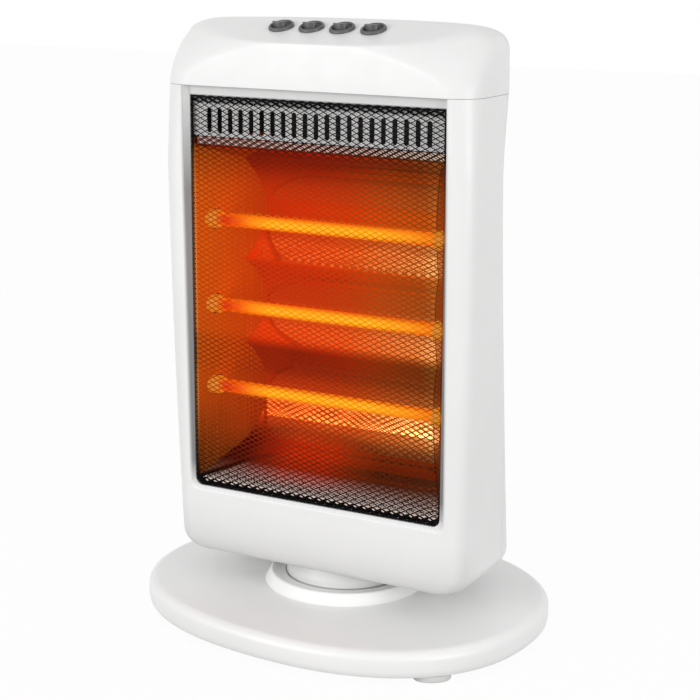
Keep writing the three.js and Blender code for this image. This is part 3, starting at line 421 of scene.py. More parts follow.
def moulded_plastic(name, color, roughness, variation=0.03, grain=0.00003, shade=None):
    """Injection-moulded plastic: a faint cloudiness, slow waves in the gloss and a fine grain, and painted
    shade where a shade is given.
    """
    finish = Finish(name, color, roughness)
    cloud = finish.noise(9.0, 3.0)
    coat = finish.ramp(cloud, [(0.3, scaled(color, 1 - variation)), (0.7, scaled(color, 1 + variation))])
    if shade:
        # Painted shade: the colour goes greyer where the shade share is high.
        coat = finish.blend(shade(finish), coat, scaled(color, PAINTED_SHADE_GREY))
    finish.give("Base Color", coat)
    finish.rough(finish.noise(60.0, 3.0), roughness - 0.05, roughness + 0.05)
    finish.bump(finish.noise(14.0, 1.0), 0.0006, 0.25)
    finish.bump(finish.noise(2200.0), grain, 0.5)
    return finish.material


def pressed_steel(name, color, roughness):
    """Rolled sheet: fine lines along X, and a mottled surface."""
    finish = Finish(name, color, roughness, 1.0)
    lines = finish.noise(1.0, 3.0, (30.0, 900.0, 900.0))
    finish.mottle(70.0, 4.0, 0.35, scaled(color, 0.85), 0.65, color)
    finish.rough(lines, roughness - 0.08, roughness + 0.1)
    finish.bump(lines, 0.00002, 0.6)
    return finish.material


def oxidised(finish, dark, light, low, high):
    """A slightly uneven coat, from dark to light, with a roughness from low to high."""
    finish.mottle(260.0, 3.0, 0.35, dark, 0.65, light)
    finish.rough(finish.noise(500.0), low, high)
    finish.bump(finish.noise(1500.0), 0.00003, 0.5)
    return finish.material


def rolled(name, color, roughness, stretch, low, high):
    """Bright rolled sheet: fine lines across the stretch, and slow waves."""
    finish = Finish(name, color, roughness, 1.0)
    finish.rough(finish.noise(1.0, 3.0, stretch), low, high)
    finish.bump(finish.noise(24.0, 1.0), 0.0004, 0.3)
    return finish


def bands_at_tubes(*offsets):
    """Curve stops of (height, level) at each tube, from offsets of (metres above its axis, level)."""
    return [(z + above, level) for z in sorted(TUBE_HEIGHTS) for above, level in offsets]


def guard_steel_painted_glow():
    """Black stoved paint on the guard, with a painted glow from the tubes behind it, strongest in front of
    the tubes, and a painted glint along its left folded edge.
    """
    finish = Finish("guard_black", (0.004, 0.004, 0.004), 0.6, 0.0, Specular_IOR_Level=0.05)
    # Painted glow strength up and across the guard.
    up = [(0.125, 0.0), (0.150, 0.2), (0.190, 0.8), (0.212, 0.8), (0.224, 0.42), (0.244, 0.42)]
    up += [(0.254, 0.95), (0.330, 1.0), (0.375, 0.8), (0.400, 0.3), (0.409, 0.0)]
    across = [(-0.1168, 0.2), (-0.1150, 0.28), (-0.1142, 1.0), (-0.08, 1.1), (0.0, 1.0)]
    across += [(0.05, 0.78), (0.10, 0.55), (0.1168, 0.45)]
    level = finish.times(finish.curve("Z", 0.110, 0.450, up), finish.curve("X", *ACROSS, across))
    red = (0.46, 0.036, 0.001)
    # Painted glow colour: a painted glint at the left folded edge, red elsewhere.
    painted_glint_fold = [(-0.1150, (0.46, 0.11, 0.010)), (-0.1139, (1.0, 0.50, 0.16)), (-0.1130, red), (0.0, red)]
    color = finish.curve("X", *ACROSS, [*painted_glint_fold, (0.06, (0.44, 0.080, 0.002))])
    # Painted glow bands just above each tube, where the tubes' light falls.
    bands = bands_at_tubes((-0.0025, 0.0), (0.0020, 1.0), (0.0075, 1.0), (0.0120, 0.0))
    ends = finish.curve("X", *ACROSS, [(-0.082, 0.0), (-0.058, 1.0), (0.085, 1.0), (0.1168, 0.6)])
    painted_glow_near_tube = finish.times(finish.curve("Z", 0.110, 0.450, bands), ends)
    strength = finish.math("MAXIMUM", level, finish.times(painted_glow_near_tube, 0.9))
    finish.glow(finish.blend(finish.times(painted_glow_near_tube, 0.75), color, (1.0, 0.34, 0.008)), strength)
    return oxidised(finish, (0.003, 0.003, 0.003), (0.006, 0.006, 0.006), 0.5, 0.7)


def reflector_painted_glow():
    """Bright aluminium with the tubes' light painted on: a painted glow strong below each tube and pale at
    the right, painted reflections below each tube, and bare at the edges.
    """
    finish = rolled("polished_reflector", (0.30, 0.08, 0.010), 0.035, (12.0, 500.0, 500.0), 0.02, 0.05)
    tall = (0.110, 0.415)
    # Painted glow strength up the troughs, and across them.
    up = [(0.114, 0.0), (0.140, 0.01), (0.150, 0.02), (0.157, 0.12), (0.165, 0.5), (0.186, 0.6)]
    up += [(0.202, 0.55), (0.211, 0.40), (0.230, 0.40), (0.238, 0.85), (0.248, 0.85), (0.258, 0.6)]
    up += [(0.276, 0.72), (0.302, 0.70), (0.310, 0.85), (0.321, 0.85), (0.334, 0.62), (0.350, 0.85)]
    up += [(0.372, 0.64), (0.386, 0.29), (0.400, 0.10)]
    across = finish.curve("X", *ACROSS, [(-0.117, 0.9), (-0.06, 1.0), (0.02, 1.0), (0.07, 0.8), (0.117, 0.6)])
    level = finish.times(finish.curve("Z", *tall, up), across)
    # A painted glow low at the left.
    lobe_up = [(0.122, 0.0), (0.128, 0.3), (0.140, 0.66), (0.152, 0.66), (0.168, 0.0)]
    lobe_across = [(-0.085, 0.0), (-0.060, 0.5), (-0.040, 1.0), (-0.005, 0.9), (0.020, 0.35), (0.045, 0.0)]
    painted_glow_lobe = finish.times(finish.curve("Z", 0.110, 0.180, lobe_up), finish.curve("X", *ACROSS, lobe_across))
    # The painted glow's colour, paler at the right.
    painted_glow_colour = [(0.0, (0.66, 0.027, 0.0012)), (0.072, (0.53, 0.09, 0.005)), (0.1104, (0.90, 0.42, 0.065))]
    finish.glow(finish.curve("X", *ACROSS, painted_glow_colour), finish.math("MAXIMUM", level, painted_glow_lobe))
    # Painted reflection bands below each tube; outside them the sheet is painted dark red.
    lit = [(0.150, 0.05), (0.158, 0.3), (0.165, 0.75), (0.170, 0.75), (0.176, 0.4), (0.190, 0.4)]
    lit += [(0.200, 0.2), (0.206, 0.1), (0.236, 0.1), (0.240, 1.0), (0.250, 1.0), (0.256, 0.55)]
    lit += [(0.264, 0.55), (0.272, 0.1), (0.306, 0.1), (0.310, 1.0), (0.321, 1.0), (0.327, 0.5)]
    lit += [(0.337, 0.5), (0.345, 0.1)]
    outside_painted_reflections = finish.math("SUBTRACT", 1.0, finish.curve("Z", *tall, lit))
    # The painted reflections' colour, paler at the right.
    painted_reflection = [(-0.096, (0.42, 0.08, 0.010)), (0.012, (0.55, 0.13, 0.020)), (0.072, (0.72, 0.32, 0.09))]
    painted_reflection = finish.curve("X", *ACROSS, [*painted_reflection, (0.108, (1.0, 0.70, 0.32))])
    bare = [(0.1225, 1.0), (0.1275, 0.6), (0.134, 0.0), (0.402, 0.0), (0.409, 0.7)]
    painted_reflection_metal = finish.blend(outside_painted_reflections, painted_reflection, (0.11, 0.012, 0.001))
    finish.give("Base Color", finish.blend(finish.curve("Z", *tall, bare), painted_reflection_metal, (0.66, 0.52, 0.46)))
    return finish.material


def side_wall_painted_glow():
    """The same sheet at the sides, tinted red, with a painted glow that is yellower near the guard and
    painted weaker on the right side, which turns away from the light.
    """
    finish = rolled("reflector_side", (0.26, 0.07, 0.004), 0.24, (500.0, 500.0, 12.0), 0.18, 0.3)
    up = [(0.119, 0.03), (0.150, 0.25), (0.200, 0.7), (0.250, 0.95), (0.340, 1.0), (0.375, 0.85)]
    up.append((0.412, 0.25))
    # Painted shade: the glow fades across to the right side.
    left = finish.curve("X", *ACROSS, [(-0.05, 1.0), (0.05, 0.12)])
    # The painted glow's colour, yellower near the guard.
    depth = [(-0.054, (0.47, 0.082, 0.002)), (-0.0279, (0.47, 0.050, 0.001)), (0.004, (0.44, 0.024, 0.001))]
    level = finish.times(finish.curve("Z", 0.115, 0.415, up), left)
    finish.glow(finish.curve("Y", -0.054, 0.004, depth), level)
    return finish.material


def along_tube(finish, stops):
    """A colour along the tubes, from stops of (share of their length, colour)."""
    share = finish.math("DIVIDE", finish.math("ADD", finish.axis("X"), TUBE_HALF), 2 * TUBE_HALF)
    return finish.ramp(share, stops)


def lit_quartz():
    """Clear quartz, lit from inside: yellow in the middle, and dark red beyond the coil's end at the left."""
    finish = Finish("quartz", (0.10, 0.012, 0.001), 0.10, 0.0, Alpha=0.55, IOR=1.46, Specular_IOR_Level=0.08)
    stops = [(0.040, (0.62, 0.140, 0.008)), (0.052, (0.60, 0.080, 0.003)), (0.062, (0.62, 0.022, 0.001))]
    stops += [(0.13, (0.85, 0.060, 0.001)), (0.18, (1.0, 0.180, 0.002)), (0.27, (1.0, 0.360, 0.007))]
    stops += [(0.70, (1.0, 0.380, 0.008)), (0.90, (0.95, 0.200, 0.004)), (0.97, (0.85, 0.120, 0.002))]
    rims = bands_at_tubes((-0.0055, 1.0), (-0.0032, 0.25), (0.0, 0.0), (0.0026, 0.25), (0.0055, 1.0))
    rim = finish.curve("Z", 0.190, 0.355, rims)
    streaks = finish.spread(finish.noise(1.0, 2.0, (8.0, 300.0, 300.0)), 1.12, 1.34)
    finish.glow(finish.blend(rim, along_tube(finish, stops), (0.78, 0.11, 0.002)), streaks)
    return finish.material


def hot_coil():
    """A glowing coil: yellow, and darker towards its cool end."""
    finish = Finish("glowing_filament", (0.05, 0.02, 0.005), 0.6, 0.0, Specular_IOR_Level=0.1)
    stops = [(0.05, (0.25, 0.006, 0.0005)), (0.13, (0.60, 0.040, 0.001)), (0.19, (1.0, 0.260, 0.004))]
    stops += [(0.27, (1.0, 0.500, 0.014)), (0.72, (1.0, 0.520, 0.016)), (0.97, (0.9, 0.260, 0.008))]
    finish.glow(along_tube(finish, stops), 1.45)
    return finish.material


def ceramic(name, dark, light, glow=None):
    """Unglazed ceramic with fine specks, and a painted glow where one is given."""
    finish = Finish(name, light, 0.6)
    finish.mottle(1800.0, 2.0, 0.3, dark, 0.5, light)
    finish.bump(finish.noise(900.0, 3.0), 0.00006, 0.6)
    if glow:
        finish.glow(*glow)
    return finish.material


WHITE = (0.85, 0.85, 0.845)
BASE_WHITE = (0.90, 0.90, 0.895)
# The neck's white is painted grey for the shade under the body.
NECK_PAINTED_SHADE_WHITE = (0.68, 0.68, 0.675)
IRON = (0.09, 0.09, 0.095)
# The lamp holders' painted glow from the tubes.
HOLDER_PAINTED_GLOW = ((0.60, 0.19, 0.005), 0.85)

MATERIALS = {
    "white": moulded_plastic("white_shell", WHITE, 0.36, 0.02),
    # The front frame, with painted shade at the window's sides and low on its front.
    "frame_white_painted_shade": moulded_plastic("frame_white_painted_shade", WHITE, 0.36, 0.02, shade=lip_painted_shade),
    "base_white": moulded_plastic("base_white", BASE_WHITE, 0.36, 0.02),
    # The neck, with its painted shade.
    "neck_white_painted_shade": moulded_plastic("neck_white_painted_shade", NECK_PAINTED_SHADE_WHITE, 0.42, 0.02),
    "vent": moulded_plastic("vent_white", (0.87, 0.86, 0.85), 0.5),
    "sheet_back": pressed_steel("sheet_back", (0.07, 0.07, 0.072), 0.5),
    "nylon": moulded_plastic("nylon", (0.66, 0.65, 0.61), 0.5, 0.05),
    "foot": moulded_plastic("foot_pad", (0.70, 0.70, 0.69), 0.75, 0.05, 0.00008),
    "black_plastic": moulded_plastic("black_plastic", (0.02, 0.02, 0.021), 0.45, 0.1),
    "switch": moulded_plastic("switch_grey", (0.095, 0.095, 0.098), 0.42, 0.06),
    "switch_key": moulded_plastic("switch_key", (0.070, 0.070, 0.073), 0.36, 0.06),
    "cable": moulded_plastic("cable", (0.03, 0.03, 0.032), 0.6, 0.1),
    "guard": guard_steel_painted_glow(),
    "ballast": oxidised(Finish("ballast", IRON, 0.7, 0.5), scaled(IRON, 0.7), IRON, 0.62, 0.82),
    "steel": pressed_steel("bright_steel", (0.62, 0.62, 0.63), 0.34),
    "mirror": reflector_painted_glow(),
    "side_mirror": side_wall_painted_glow(),
    "quartz": lit_quartz(),
    "filament": hot_coil(),
    # The lamp holders' ceramic, painted orange for the tubes' light, with its painted glow.
    "ceramic": ceramic("ceramic", (0.20, 0.08, 0.008), (0.28, 0.12, 0.015), HOLDER_PAINTED_GLOW),
    "terminal": ceramic("terminal_ceramic", (0.60, 0.50, 0.38), (0.80, 0.73, 0.62)),
}

SCREWS = ("base_screw", "retainer_screw", "rear_screw")

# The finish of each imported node, by how its name starts.
NODE_FINISHES = {
    "white": ("front_frame", "rear_cover", "top_cover", "neck"),
    "base_white": ("base_shell", "base_bottom_cover"),
    "foot": ("foot",),
    "vent": ("vent_panel",),
    "nylon": ("swivel_washer", "tip_plunger", "crank_disc"),
    "black_plastic": ("tip_switch_housing", "cord_gland", "thermal_cutout"),
    "switch": ("switch_housing", "rocker"),
    "cable": ("base_wiring", "body_wiring"),
    "guard": ("guard_mesh",),
    "ballast": ("ballast_plate",),
    "steel": ("drive_plate", "pivot_retainer", "oscillation_motor", *SCREWS),
    "sheet_back": ("heat_shield",),
    "mirror": ("reflector",),
    "quartz": ("quartz_tube",),
    "filament": ("filament",),
    "ceramic": ("lamp_holder",),
    "terminal": ("terminal_block",),
}


def dress_packed_nodes():
    for name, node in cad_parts.items():
        key = next(key for key, starts in NODE_FINISHES.items() if name.startswith(starts))
        node.data.materials.clear()
        node.data.materials.append(MATERIALS[key])


# ---- solids


def ring_faces(count, pairs, start=0):
    """Four-sided faces between pairs of rings of points; start is the first ring's first point."""
    faces = []
    for level, above in pairs:
        low, high = start + level * count, start + above * count
        for i in range(count):
            after = (i + 1) % count
            faces.append((low + i, low + after, high + after, high + i))
    return faces


def solid(vertices, faces):
    mesh = bpy.data.meshes.new("solid")
    mesh.from_pydata([tuple(vertex) for vertex in vertices], [], faces)
    mesh.update()
    return link_to_scene("solid", mesh)


def loft(rings):
    """A closed solid through rings of equal length, each anticlockwise seen from the last one's side."""
    count, last = len(rings[0]), len(rings) - 1
    faces = ring_faces(count, [(level, level + 1) for level in range(last)])
    faces.append(tuple(reversed(range(count))))
    faces.append(tuple(range(last * count, (last + 1) * count)))
    return solid([point for ring in rings for point in ring], faces)


def hoop(rings):
    """A closed ring-shaped solid: the last ring joins the first again."""
    faces = ring_faces(len(rings[0]), [(level, (level + 1) % len(rings)) for level in range(len(rings))])
    return solid([point for ring in rings for point in ring], faces)


def circle(radius, z, sides):
    steps = [2 * math.pi * i / sides for i in range(sides)]
    return [Vector((radius * math.cos(angle), radius * math.sin(angle), z)) for angle in steps]


def turned(profile, sides):
    """A solid of revolution about Z; the profile runs from the axis back to it, anticlockwise in (r, z)."""
    return loft([circle(max(r, ON_AXIS), z, sides) for r, z in profile])


def turned_ring(profile, sides):
    """A solid of revolution whose section, anticlockwise in (r, z), closes on itself."""
    return hoop([circle(r, z, sides) for r, z in profile])


def rod(radius, z0, z1, x=0.0, y=0.0, sides=32):
    return move(turned([(0, z0), (radius, z0), (radius, z1), (0, z1)], sides), (x, y, 0))


def rod_along_y(radius, y0, y1, x, z):
    return move(turn(rod(radius, -y1, -y0), math.pi / 2, "X"), (x, 0, z))


def rod_along_x(radius, x0, x1, y, z, sides):
    return move(turn(rod(radius, x0, x1, sides=sides), math.pi / 2, "Y"), (0, y, z))


def prism(outline, z0, z1):
    """An outline of (x, y) points, anticlockwise, pushed along Z."""
    return loft([[Vector((x, y, z)) for x, y in outline] for z in (z0, z1)])


def block(x0, x1, y0, y1, z0, z1):
    return prism(((x0, y0), (x1, y0), (x1, y1), (x0, y1)), z0, z1)


def upright(outline, y0, y1):
    """An outline of (x, z) points, anticlockwise seen from the front, pushed back from y0 to y1."""
    return loft([[Vector((x, y, z)) for x, z in outline] for y in (y1, y0)])


def sideways(outline, x0, x1):
    """An outline of (y, z) points, anticlockwise seen from +X, pushed along X."""
    return loft([[Vector((x, y, z)) for y, z in outline] for x in (x0, x1)])


def shifted(piece, matrix):
    piece.data.transform(matrix)
    return piece


def move(piece, offset):
    return shifted(piece, Matrix.Translation(offset))


def turn(piece, angle, axis):
    return shifted(piece, Matrix.Rotation(angle, 4, axis))


def bake(piece):
    """Turns the piece's modifiers into its own mesh."""
    bpy.context.view_layer.update()
    baked = bpy.data.meshes.new_from_object(piece.evaluated_get(bpy.context.evaluated_depsgraph_get()))
    piece.modifiers.clear()
    old = piece.data
    piece.data = baked
    bpy.data.meshes.remove(old)
    return piece


def combine(piece, tools, operation):
    for tool in tools:
        modifier = piece.modifiers.new(operation.lower(), "BOOLEAN")
        modifier.operation = operation
        modifier.solver = "MANIFOLD"
        modifier.object = tool
    bake(piece)
    for tool in tools:
        bpy.data.objects.remove(tool)
    return piece


def cut(piece, *tools):
    return combine(piece, tools, "DIFFERENCE")


def join(piece, *tools):
    return combine(piece, tools, "UNION")


def keep(piece, *tools):
    return combine(piece, tools, "INTERSECT")


def rounded(piece, width):
    """Rounds the piece's sharp edges."""
    modifier = piece.modifiers.new("round", "BEVEL")
    modifier.width = width
    modifier.segments = 2
    modifier.limit_method = "ANGLE"
    modifier.angle_limit = math.radians(30)
    modifier.use_clamp_overlap = True
    return bake(piece)


def join_meshes(pieces):
    """One mesh from several, without cutting them against each other."""
    vertices, faces = [], []
    for piece in pieces:
        start = len(vertices)
        vertices += [tuple(vertex.co) for vertex in piece.data.vertices]
        faces += [tuple(start + index for index in polygon.vertices) for polygon in piece.data.polygons]
        bpy.data.objects.remove(piece)
    return solid(vertices, faces)


def place(piece, name, finish, slot, node, body="heater_body", sharp=32):
    """Gives a finished piece its name, material and smooth shading, its body and the node it stands for."""
    piece.name = name
    piece.data.materials.clear()
    piece.data.materials.append(MATERIALS[finish])
    piece.data.shade_smooth()
    piece.data.set_sharp_from_angle(angle=math.radians(sharp))
    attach(piece, body)
    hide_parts(node)
    return piece


# ---- outlines


def clamped(share):
    return min(1, max(0, share))


def quarter_angles(steps):
    return [math.pi / 2 * i / steps for i in range(steps + 1)]


def corner_draw(radius, rise):
    """How far a round corner draws in at a rise above its lowest point."""
    below = max(0, radius - rise)
    return radius - math.sqrt(max(0, radius**2 - below**2))


def arc(x, y, radius, start, end, steps):
    angles = [math.radians(start + (end - start) * i / steps) for i in range(steps + 1)]
    return [(x + radius * math.cos(angle), y + radius * math.sin(angle)) for angle in angles]


def window_outline(half, bottom, top, steps=8):
    """Square top corners and round bottom corners, anticlockwise seen from the front."""
    radius = WINDOW_CORNER_R
    right = arc(half - radius, bottom + radius, radius, -90, 0, steps)
    left = arc(-half + radius, bottom + radius, radius, 180, 270, steps)
    return [*right, (half, top), (-half, top), *left]


def rounded_outline(x0, x1, y0, y1, radius, steps=6):
    left, right, low, high = x0 + radius, x1 - radius, y0 + radius, y1 - radius
    corners = ((right, low, -90), (right, high, 0), (left, high, 90), (left, low, 180))
    return [point for x, y, start in corners for point in arc(x, y, radius, start, start + 90, steps)]


def base_plan(inset, z):
    ring = []
    for i in range(BASE_POINTS):
        angle = 2 * math.pi * i / BASE_POINTS
        x, y = (math.copysign(abs(c) ** (2 / BASE_POWER), c) for c in (math.cos(angle), math.sin(angle)))
        ring.append(Vector(((BASE_HALF_X - inset) * x, (BASE_HALF_Y - inset) * y, z)))
    return ring


def half_width_at(z):
    return WIDEST_HALF - WIDTH_TAPER * ((z - WIDEST_Z) / TAPER_SPAN) ** 2


def front_at(z):
    return FRONT_Y - FRONT_LEAN * (z - BODY_BOTTOM)


def rear_at(z):
    below = max(0, WAIST_Z - z) / REAR_FLARE_SPAN
    above = max(0, min(z, COVER_SEAM) - WAIST_Z) / COVER_FLARE_SPAN
    return WAIST_Y + REAR_FLARE * below**1.5 + COVER_FLARE * above**1.5


def seam_at(z):
    return SEAM_Y_TOP + SEAM_LEAN * (COVER_SEAM - z)


def top_draw_in(z):
    share = clamped((z - TOP_ROUND_START) / (BODY_TOP - TOP_ROUND_START))
    return 1 - (1 - share**TOP_ROUND_POWER) ** (1 / TOP_ROUND_POWER)


def body_plan(z, inset):
    """The body's outline at one height: straight front, elliptical front corners, curved rear."""
    drawn = top_draw_in(z)
    bottom = corner_draw(BODY_BOTTOM_R, z - BODY_BOTTOM)
    half = half_width_at(z) - TOP_ROUND_SIDE * drawn - bottom - inset
    front = front_at(z) + TOP_ROUND_FRONT * drawn + BOTTOM_DRAW_IN_FRONT * bottom + inset
    rear = rear_at(z) - TOP_ROUND_REAR * drawn - bottom - inset
    rear_start = rear - (REAR_DEPTH * (1 - REAR_DEPTH_LOSS * drawn) - inset)
    corner = FRONT_CORNER_R + CORNER_GROWTH * clamped((z - WAIST_Z) / (COVER_SEAM - WAIST_Z)) - inset
    bow = clamped((z - COVER_SEAM) / (BOW_SHARE * (BODY_TOP - COVER_SEAM))) ** 2
    corner_x = corner + (half - 0.004 - corner) * bow
    corner_y = min(corner + BOW_DEPTH * bow, rear_start - front - 0.0005)
    ring = []
    for angle in quarter_angles(CORNER_STEPS):
        x = half - corner_x + corner_x * math.sin(angle)
        ring.append(Vector((x, front + corner_y - corner_y * math.cos(angle), z)))
    for angle in quarter_angles(REAR_STEPS)[:-1]:
        y = rear_start + (rear - rear_start) * math.sin(angle)
        if angle or y - ring[-1].y > 0.0001:
            ring.append(Vector((half * math.cos(angle), y, z)))
    mirrored = [Vector((-point.x, point.y, z)) for point in reversed(ring)]
    return [*ring, Vector((0, rear, z)), *mirrored]


def top_heights(steps):
    """Heights up the round top, closest together where it turns level."""
    rises = [math.sin(angle) ** (2 / TOP_ROUND_POWER) for angle in quarter_angles(steps)[1:]]
    return [TOP_ROUND_START + (BODY_TOP - TOP_ROUND_START) * rise for rise in rises]


def wall_plan(z, wall):
    """The outline within a wall, at a height squeezed so that the floor and the top keep the wall too."""
    share = (z - BODY_BOTTOM) / (BODY_TOP - BODY_BOTTOM)
    height = BODY_BOTTOM + wall + share * (BODY_TOP - BODY_BOTTOM - 2 * wall)
    return [Vector((point.x, point.y, height)) for point in body_plan(z, wall)]


def body_form(wall=0):
    """The body's outside, or the space within its wall."""
    heights = [BODY_BOTTOM + BODY_BOTTOM_R * (1 - math.cos(angle)) for angle in quarter_angles(10)]
    middle = [BODY_BOTTOM + BODY_BOTTOM_R + step * 0.0125 for step in range(1, 33)]
    heights += [z for z in middle if z < TOP_ROUND_START - 0.004]
    return loft([wall_plan(z, wall) for z in (*heights, TOP_ROUND_START, *top_heights(26))])


# ---- base


def base_screw_holes():
    return [rod(SCREW_HOLE_R, 0, 0.020, x, y) for x, y in SCREW_POSTS]


def base_shell():
    """The oval shell: a rounded rim, a crown that rises to the collar, and the collar's dished top."""
    side_top = RIM_TOP - 0.0075
    skin = [(0.0036, RIM_BOTTOM), (0.0022, RIM_BOTTOM + 0.0004), (0.0009, RIM_BOTTOM + 0.0022)]
    skin += [(0.0, RIM_BOTTOM + 0.0065), (0.0, side_top)]
    for angle in quarter_angles(10)[1:]:
        z = side_top + (RIM_TOP - side_top + 0.0003) * math.sin(angle)
        skin.append((0.0085 * (1 - math.cos(angle)), z))
    skin += [(0.016, RIM_TOP + 0.0007), (0.035, RIM_TOP + 0.0017), (0.060, CROWN_TOP)]
    shell = loft([base_plan(inset, z) for inset, z in skin])
    hollow = [(0.0022, RIM_BOTTOM - 0.001), (0, RIM_BOTTOM + 0.008), (0.0034, RIM_TOP - 0.0044)]
    under = loft([base_plan(inset + WALL, z) for inset, z in (*hollow, (0.060, CROWN_TOP - WALL))])
    profile = [(0, 0.020), (COLLAR_FOOT_R + 0.003, 0.020), (COLLAR_FOOT_R + 0.003, CROWN_TOP - 0.0012)]
    profile += [(COLLAR_FOOT_R, CROWN_TOP - 0.0004), (COLLAR_FOOT_R - 0.0016, CROWN_TOP + 0.0012)]
    profile += [(COLLAR_RIM_R + 0.0022, 0.0352), (COLLAR_RIM_R + 0.0008, 0.0380)]
    profile += arc(COLLAR_RIM_R - 0.0018, COLLAR_TOP - 0.0022, 0.0022, 10, 100, 6)
    profile += [(0.0600, 0.0394), (NECK_R + 0.0045, 0.0388), (NECK_R + 0.0018, 0.0388)]
    profile += [(NECK_R + 0.0010, 0.0382), (NECK_R + 0.0009, BEARING_WALL_TOP), (0, BEARING_WALL_TOP)]
    collar = turned(profile, LARGE_TURN)
    wall_bottom = BEARING_WALL_TOP - WALL
    inside = [(0, 0.010), (COLLAR_FOOT_R - WALL, 0.010), (COLLAR_FOOT_R - WALL, CROWN_TOP - WALL)]
    inside += [(COLLAR_RIM_R - 0.0012, wall_bottom), (0, wall_bottom)]
    hole = rod(SPIGOT_R + 0.0008, 0.020, 0.050, sides=LARGE_TURN)
    shell = cut(join(shell, collar), under, turned(inside, LARGE_TURN), hole)
    posts = [rod(0.0045, 0.0088, CROWN_TOP - WALL + 0.0004, x, y) for x, y in SCREW_POSTS]
    posts += [rod(0.004, DRIVE_PLATE_Z[1] + GAP, 0.0355, x, y) for x, y in DRIVE_POSTS]
    posts += [rod(0.002, DRIVE_PLATE_Z[0] - 0.002, 0.030, x, y) for x, y in DRIVE_POSTS]
    gland = [rod_along_y(GLAND_R + GAP, 0.120, 0.150, 0, GLAND_Z)]
    gland.append(rod_along_y(GLAND_R + 0.0035, BASE_HALF_Y - 0.0018, 0.150, 0, GLAND_Z))
    return cut(join(shell, *posts), *base_screw_holes(), *gland)


def foot():
    """A soft pad with rolled edges, wider along X."""
    half_x, half_y = FOOT_HALF
    rings = []
    for share, z in ((0.86, 0.0), (0.93, 0.0003), (0.98, 0.0011), (1.0, 0.0022), (1.0, FOOT_HEIGHT)):
        rings.append([Vector((half_x * share * p.x, half_y * share * p.y, z)) for p in circle(1, 0, 48)])
    return loft(rings)


def base_bottom_cover():
    inset = 0.0022 + WALL + 0.0006
    levels = ((inset + 0.0006, RIM_BOTTOM), (inset, RIM_BOTTOM + 0.0006), (inset, RIM_BOTTOM + WALL))
    sheet = loft([base_plan(*level) for level in levels])
    vents = []
    for row in range(6):
        y = -0.030 + 0.012 * row
        vents.append(block(-0.040, 0.040, y, y + 0.003, 0.005, RIM_BOTTOM + 0.0005))
    return cut(sheet, *base_screw_holes(), rod(0.006, 0, 0.020, 0, -0.095), *vents)


def build_base():
    shell, cover = (turn(part, BASE_TURN, "Z") for part in (base_shell(), base_bottom_cover()))
    place(shell, "base_moulding", "base_white", "white_shell", "base_shell", "base")
    place(cover, "base_underside", "base_white", "white_shell", "base_bottom_cover", "base")
    for end, sign_y in (("front", -1), ("rear", 1)):
        for side, sign_x in SIDES:
            pad = turn(foot(), -sign_x * sign_y * FOOT_TURN, "Z")
            turn(move(pad, (sign_x * FOOT_PLACE[0], sign_y * FOOT_PLACE[1], 0)), BASE_TURN, "Z")
            place(pad, f"pad_{end}_{side}", "foot", "foot_pad", f"foot_{end}_{side}", "base")


# ---- body shells


def ahead_of_seam(shift):
    low, high = 0.040, 0.600
    outline = [(-FAR, low), (seam_at(low) + shift, low), (seam_at(high) + shift, high), (-FAR, high)]
    return sideways(outline, -FAR, FAR)


def below_cover():
    return block(-FAR, FAR, -FAR, FAR, 0, COVER_SEAM - GAP)


def neck_hole():
    return rod(NECK_TOP_R + 0.0008, 0.030, BODY_BOTTOM + 0.006, sides=LARGE_TURN)


def window_cutter():
    """The window: a rounded outer edge on the leaning front, a bevel in to the guard, then straight back."""
    rings = []

    def ring(half, bottom, y_of):
        rings.append([Vector((x, y_of(z), z)) for x, z in window_outline(half, bottom, 0.480)])

    ring(LIP_HALF, LIP_BOTTOM, lambda z: -0.040)
    ring(LIP_HALF, LIP_BOTTOM, lambda z: GUARD_FRONT_Y - 0.0006)
    for i in range(6):
        depth = WINDOW_EDGE_R * (1 - i / 5)
        grow = corner_draw(WINDOW_EDGE_R, depth)
        ring(WINDOW_HALF + grow, WINDOW_BOTTOM - grow, lambda z, depth=depth: front_at(z) + depth)
    ring(WINDOW_HALF + WINDOW_EDGE_R, WINDOW_BOTTOM - WINDOW_EDGE_R, lambda z: front_at(z) - 0.004)
    return loft(rings)


def front_frame():
    shell = keep(cut(body_form(), body_form(WALL)), ahead_of_seam(-GAP / 2), below_cover())
    lip_outline = window_outline(LIP_HALF + 0.0034, WINDOW_BOTTOM - 0.0006, COVER_SEAM - GAP)
    lip = keep(upright(lip_outline, -0.0665, LIP_REAR_Y), body_form())
    bosses, holes = [], []
    for x, z in REAR_SCREWS:
        seam = seam_at(z)
        bosses.append(rod_along_y(0.0046, seam - 0.014, seam - 0.001, x, z))
        bosses.append(block(*sorted((x, 1.2 * x)), seam - 0.014, seam - 0.001, z - 0.0012, z + 0.0012))
        holes.append(rod_along_y(SCREW_HOLE_R, seam - 0.012, seam + 0.005, x, z))
    bosses = keep(join(*bosses), body_form(), ahead_of_seam(-GAP / 2))
    shell = cut(join(shell, lip, bosses), window_cutter(), neck_hole(), *holes)
    low, high = GUARD_TOP + 0.0005, COVER_SEAM - GAP
    bar = [(-0.0585, GUARD_TOP + 0.0012), (-0.0578, low), (LIP_REAR_Y, low)]
    bar += [(LIP_REAR_Y, high), (-0.0585, high)]
    return join(shell, sideways(bar, -LIP_HALF - 0.002, LIP_HALF + 0.002))


def handle_pocket(grow):
    half = HANDLE_HALF + grow
    outline = rounded_outline(-half, half, HANDLE_Z[0] - grow, HANDLE_Z[1] + grow, HANDLE_CORNER_R + grow)
    return upright(outline, WAIST_Y - HANDLE_DEPTH - grow, 0.120)


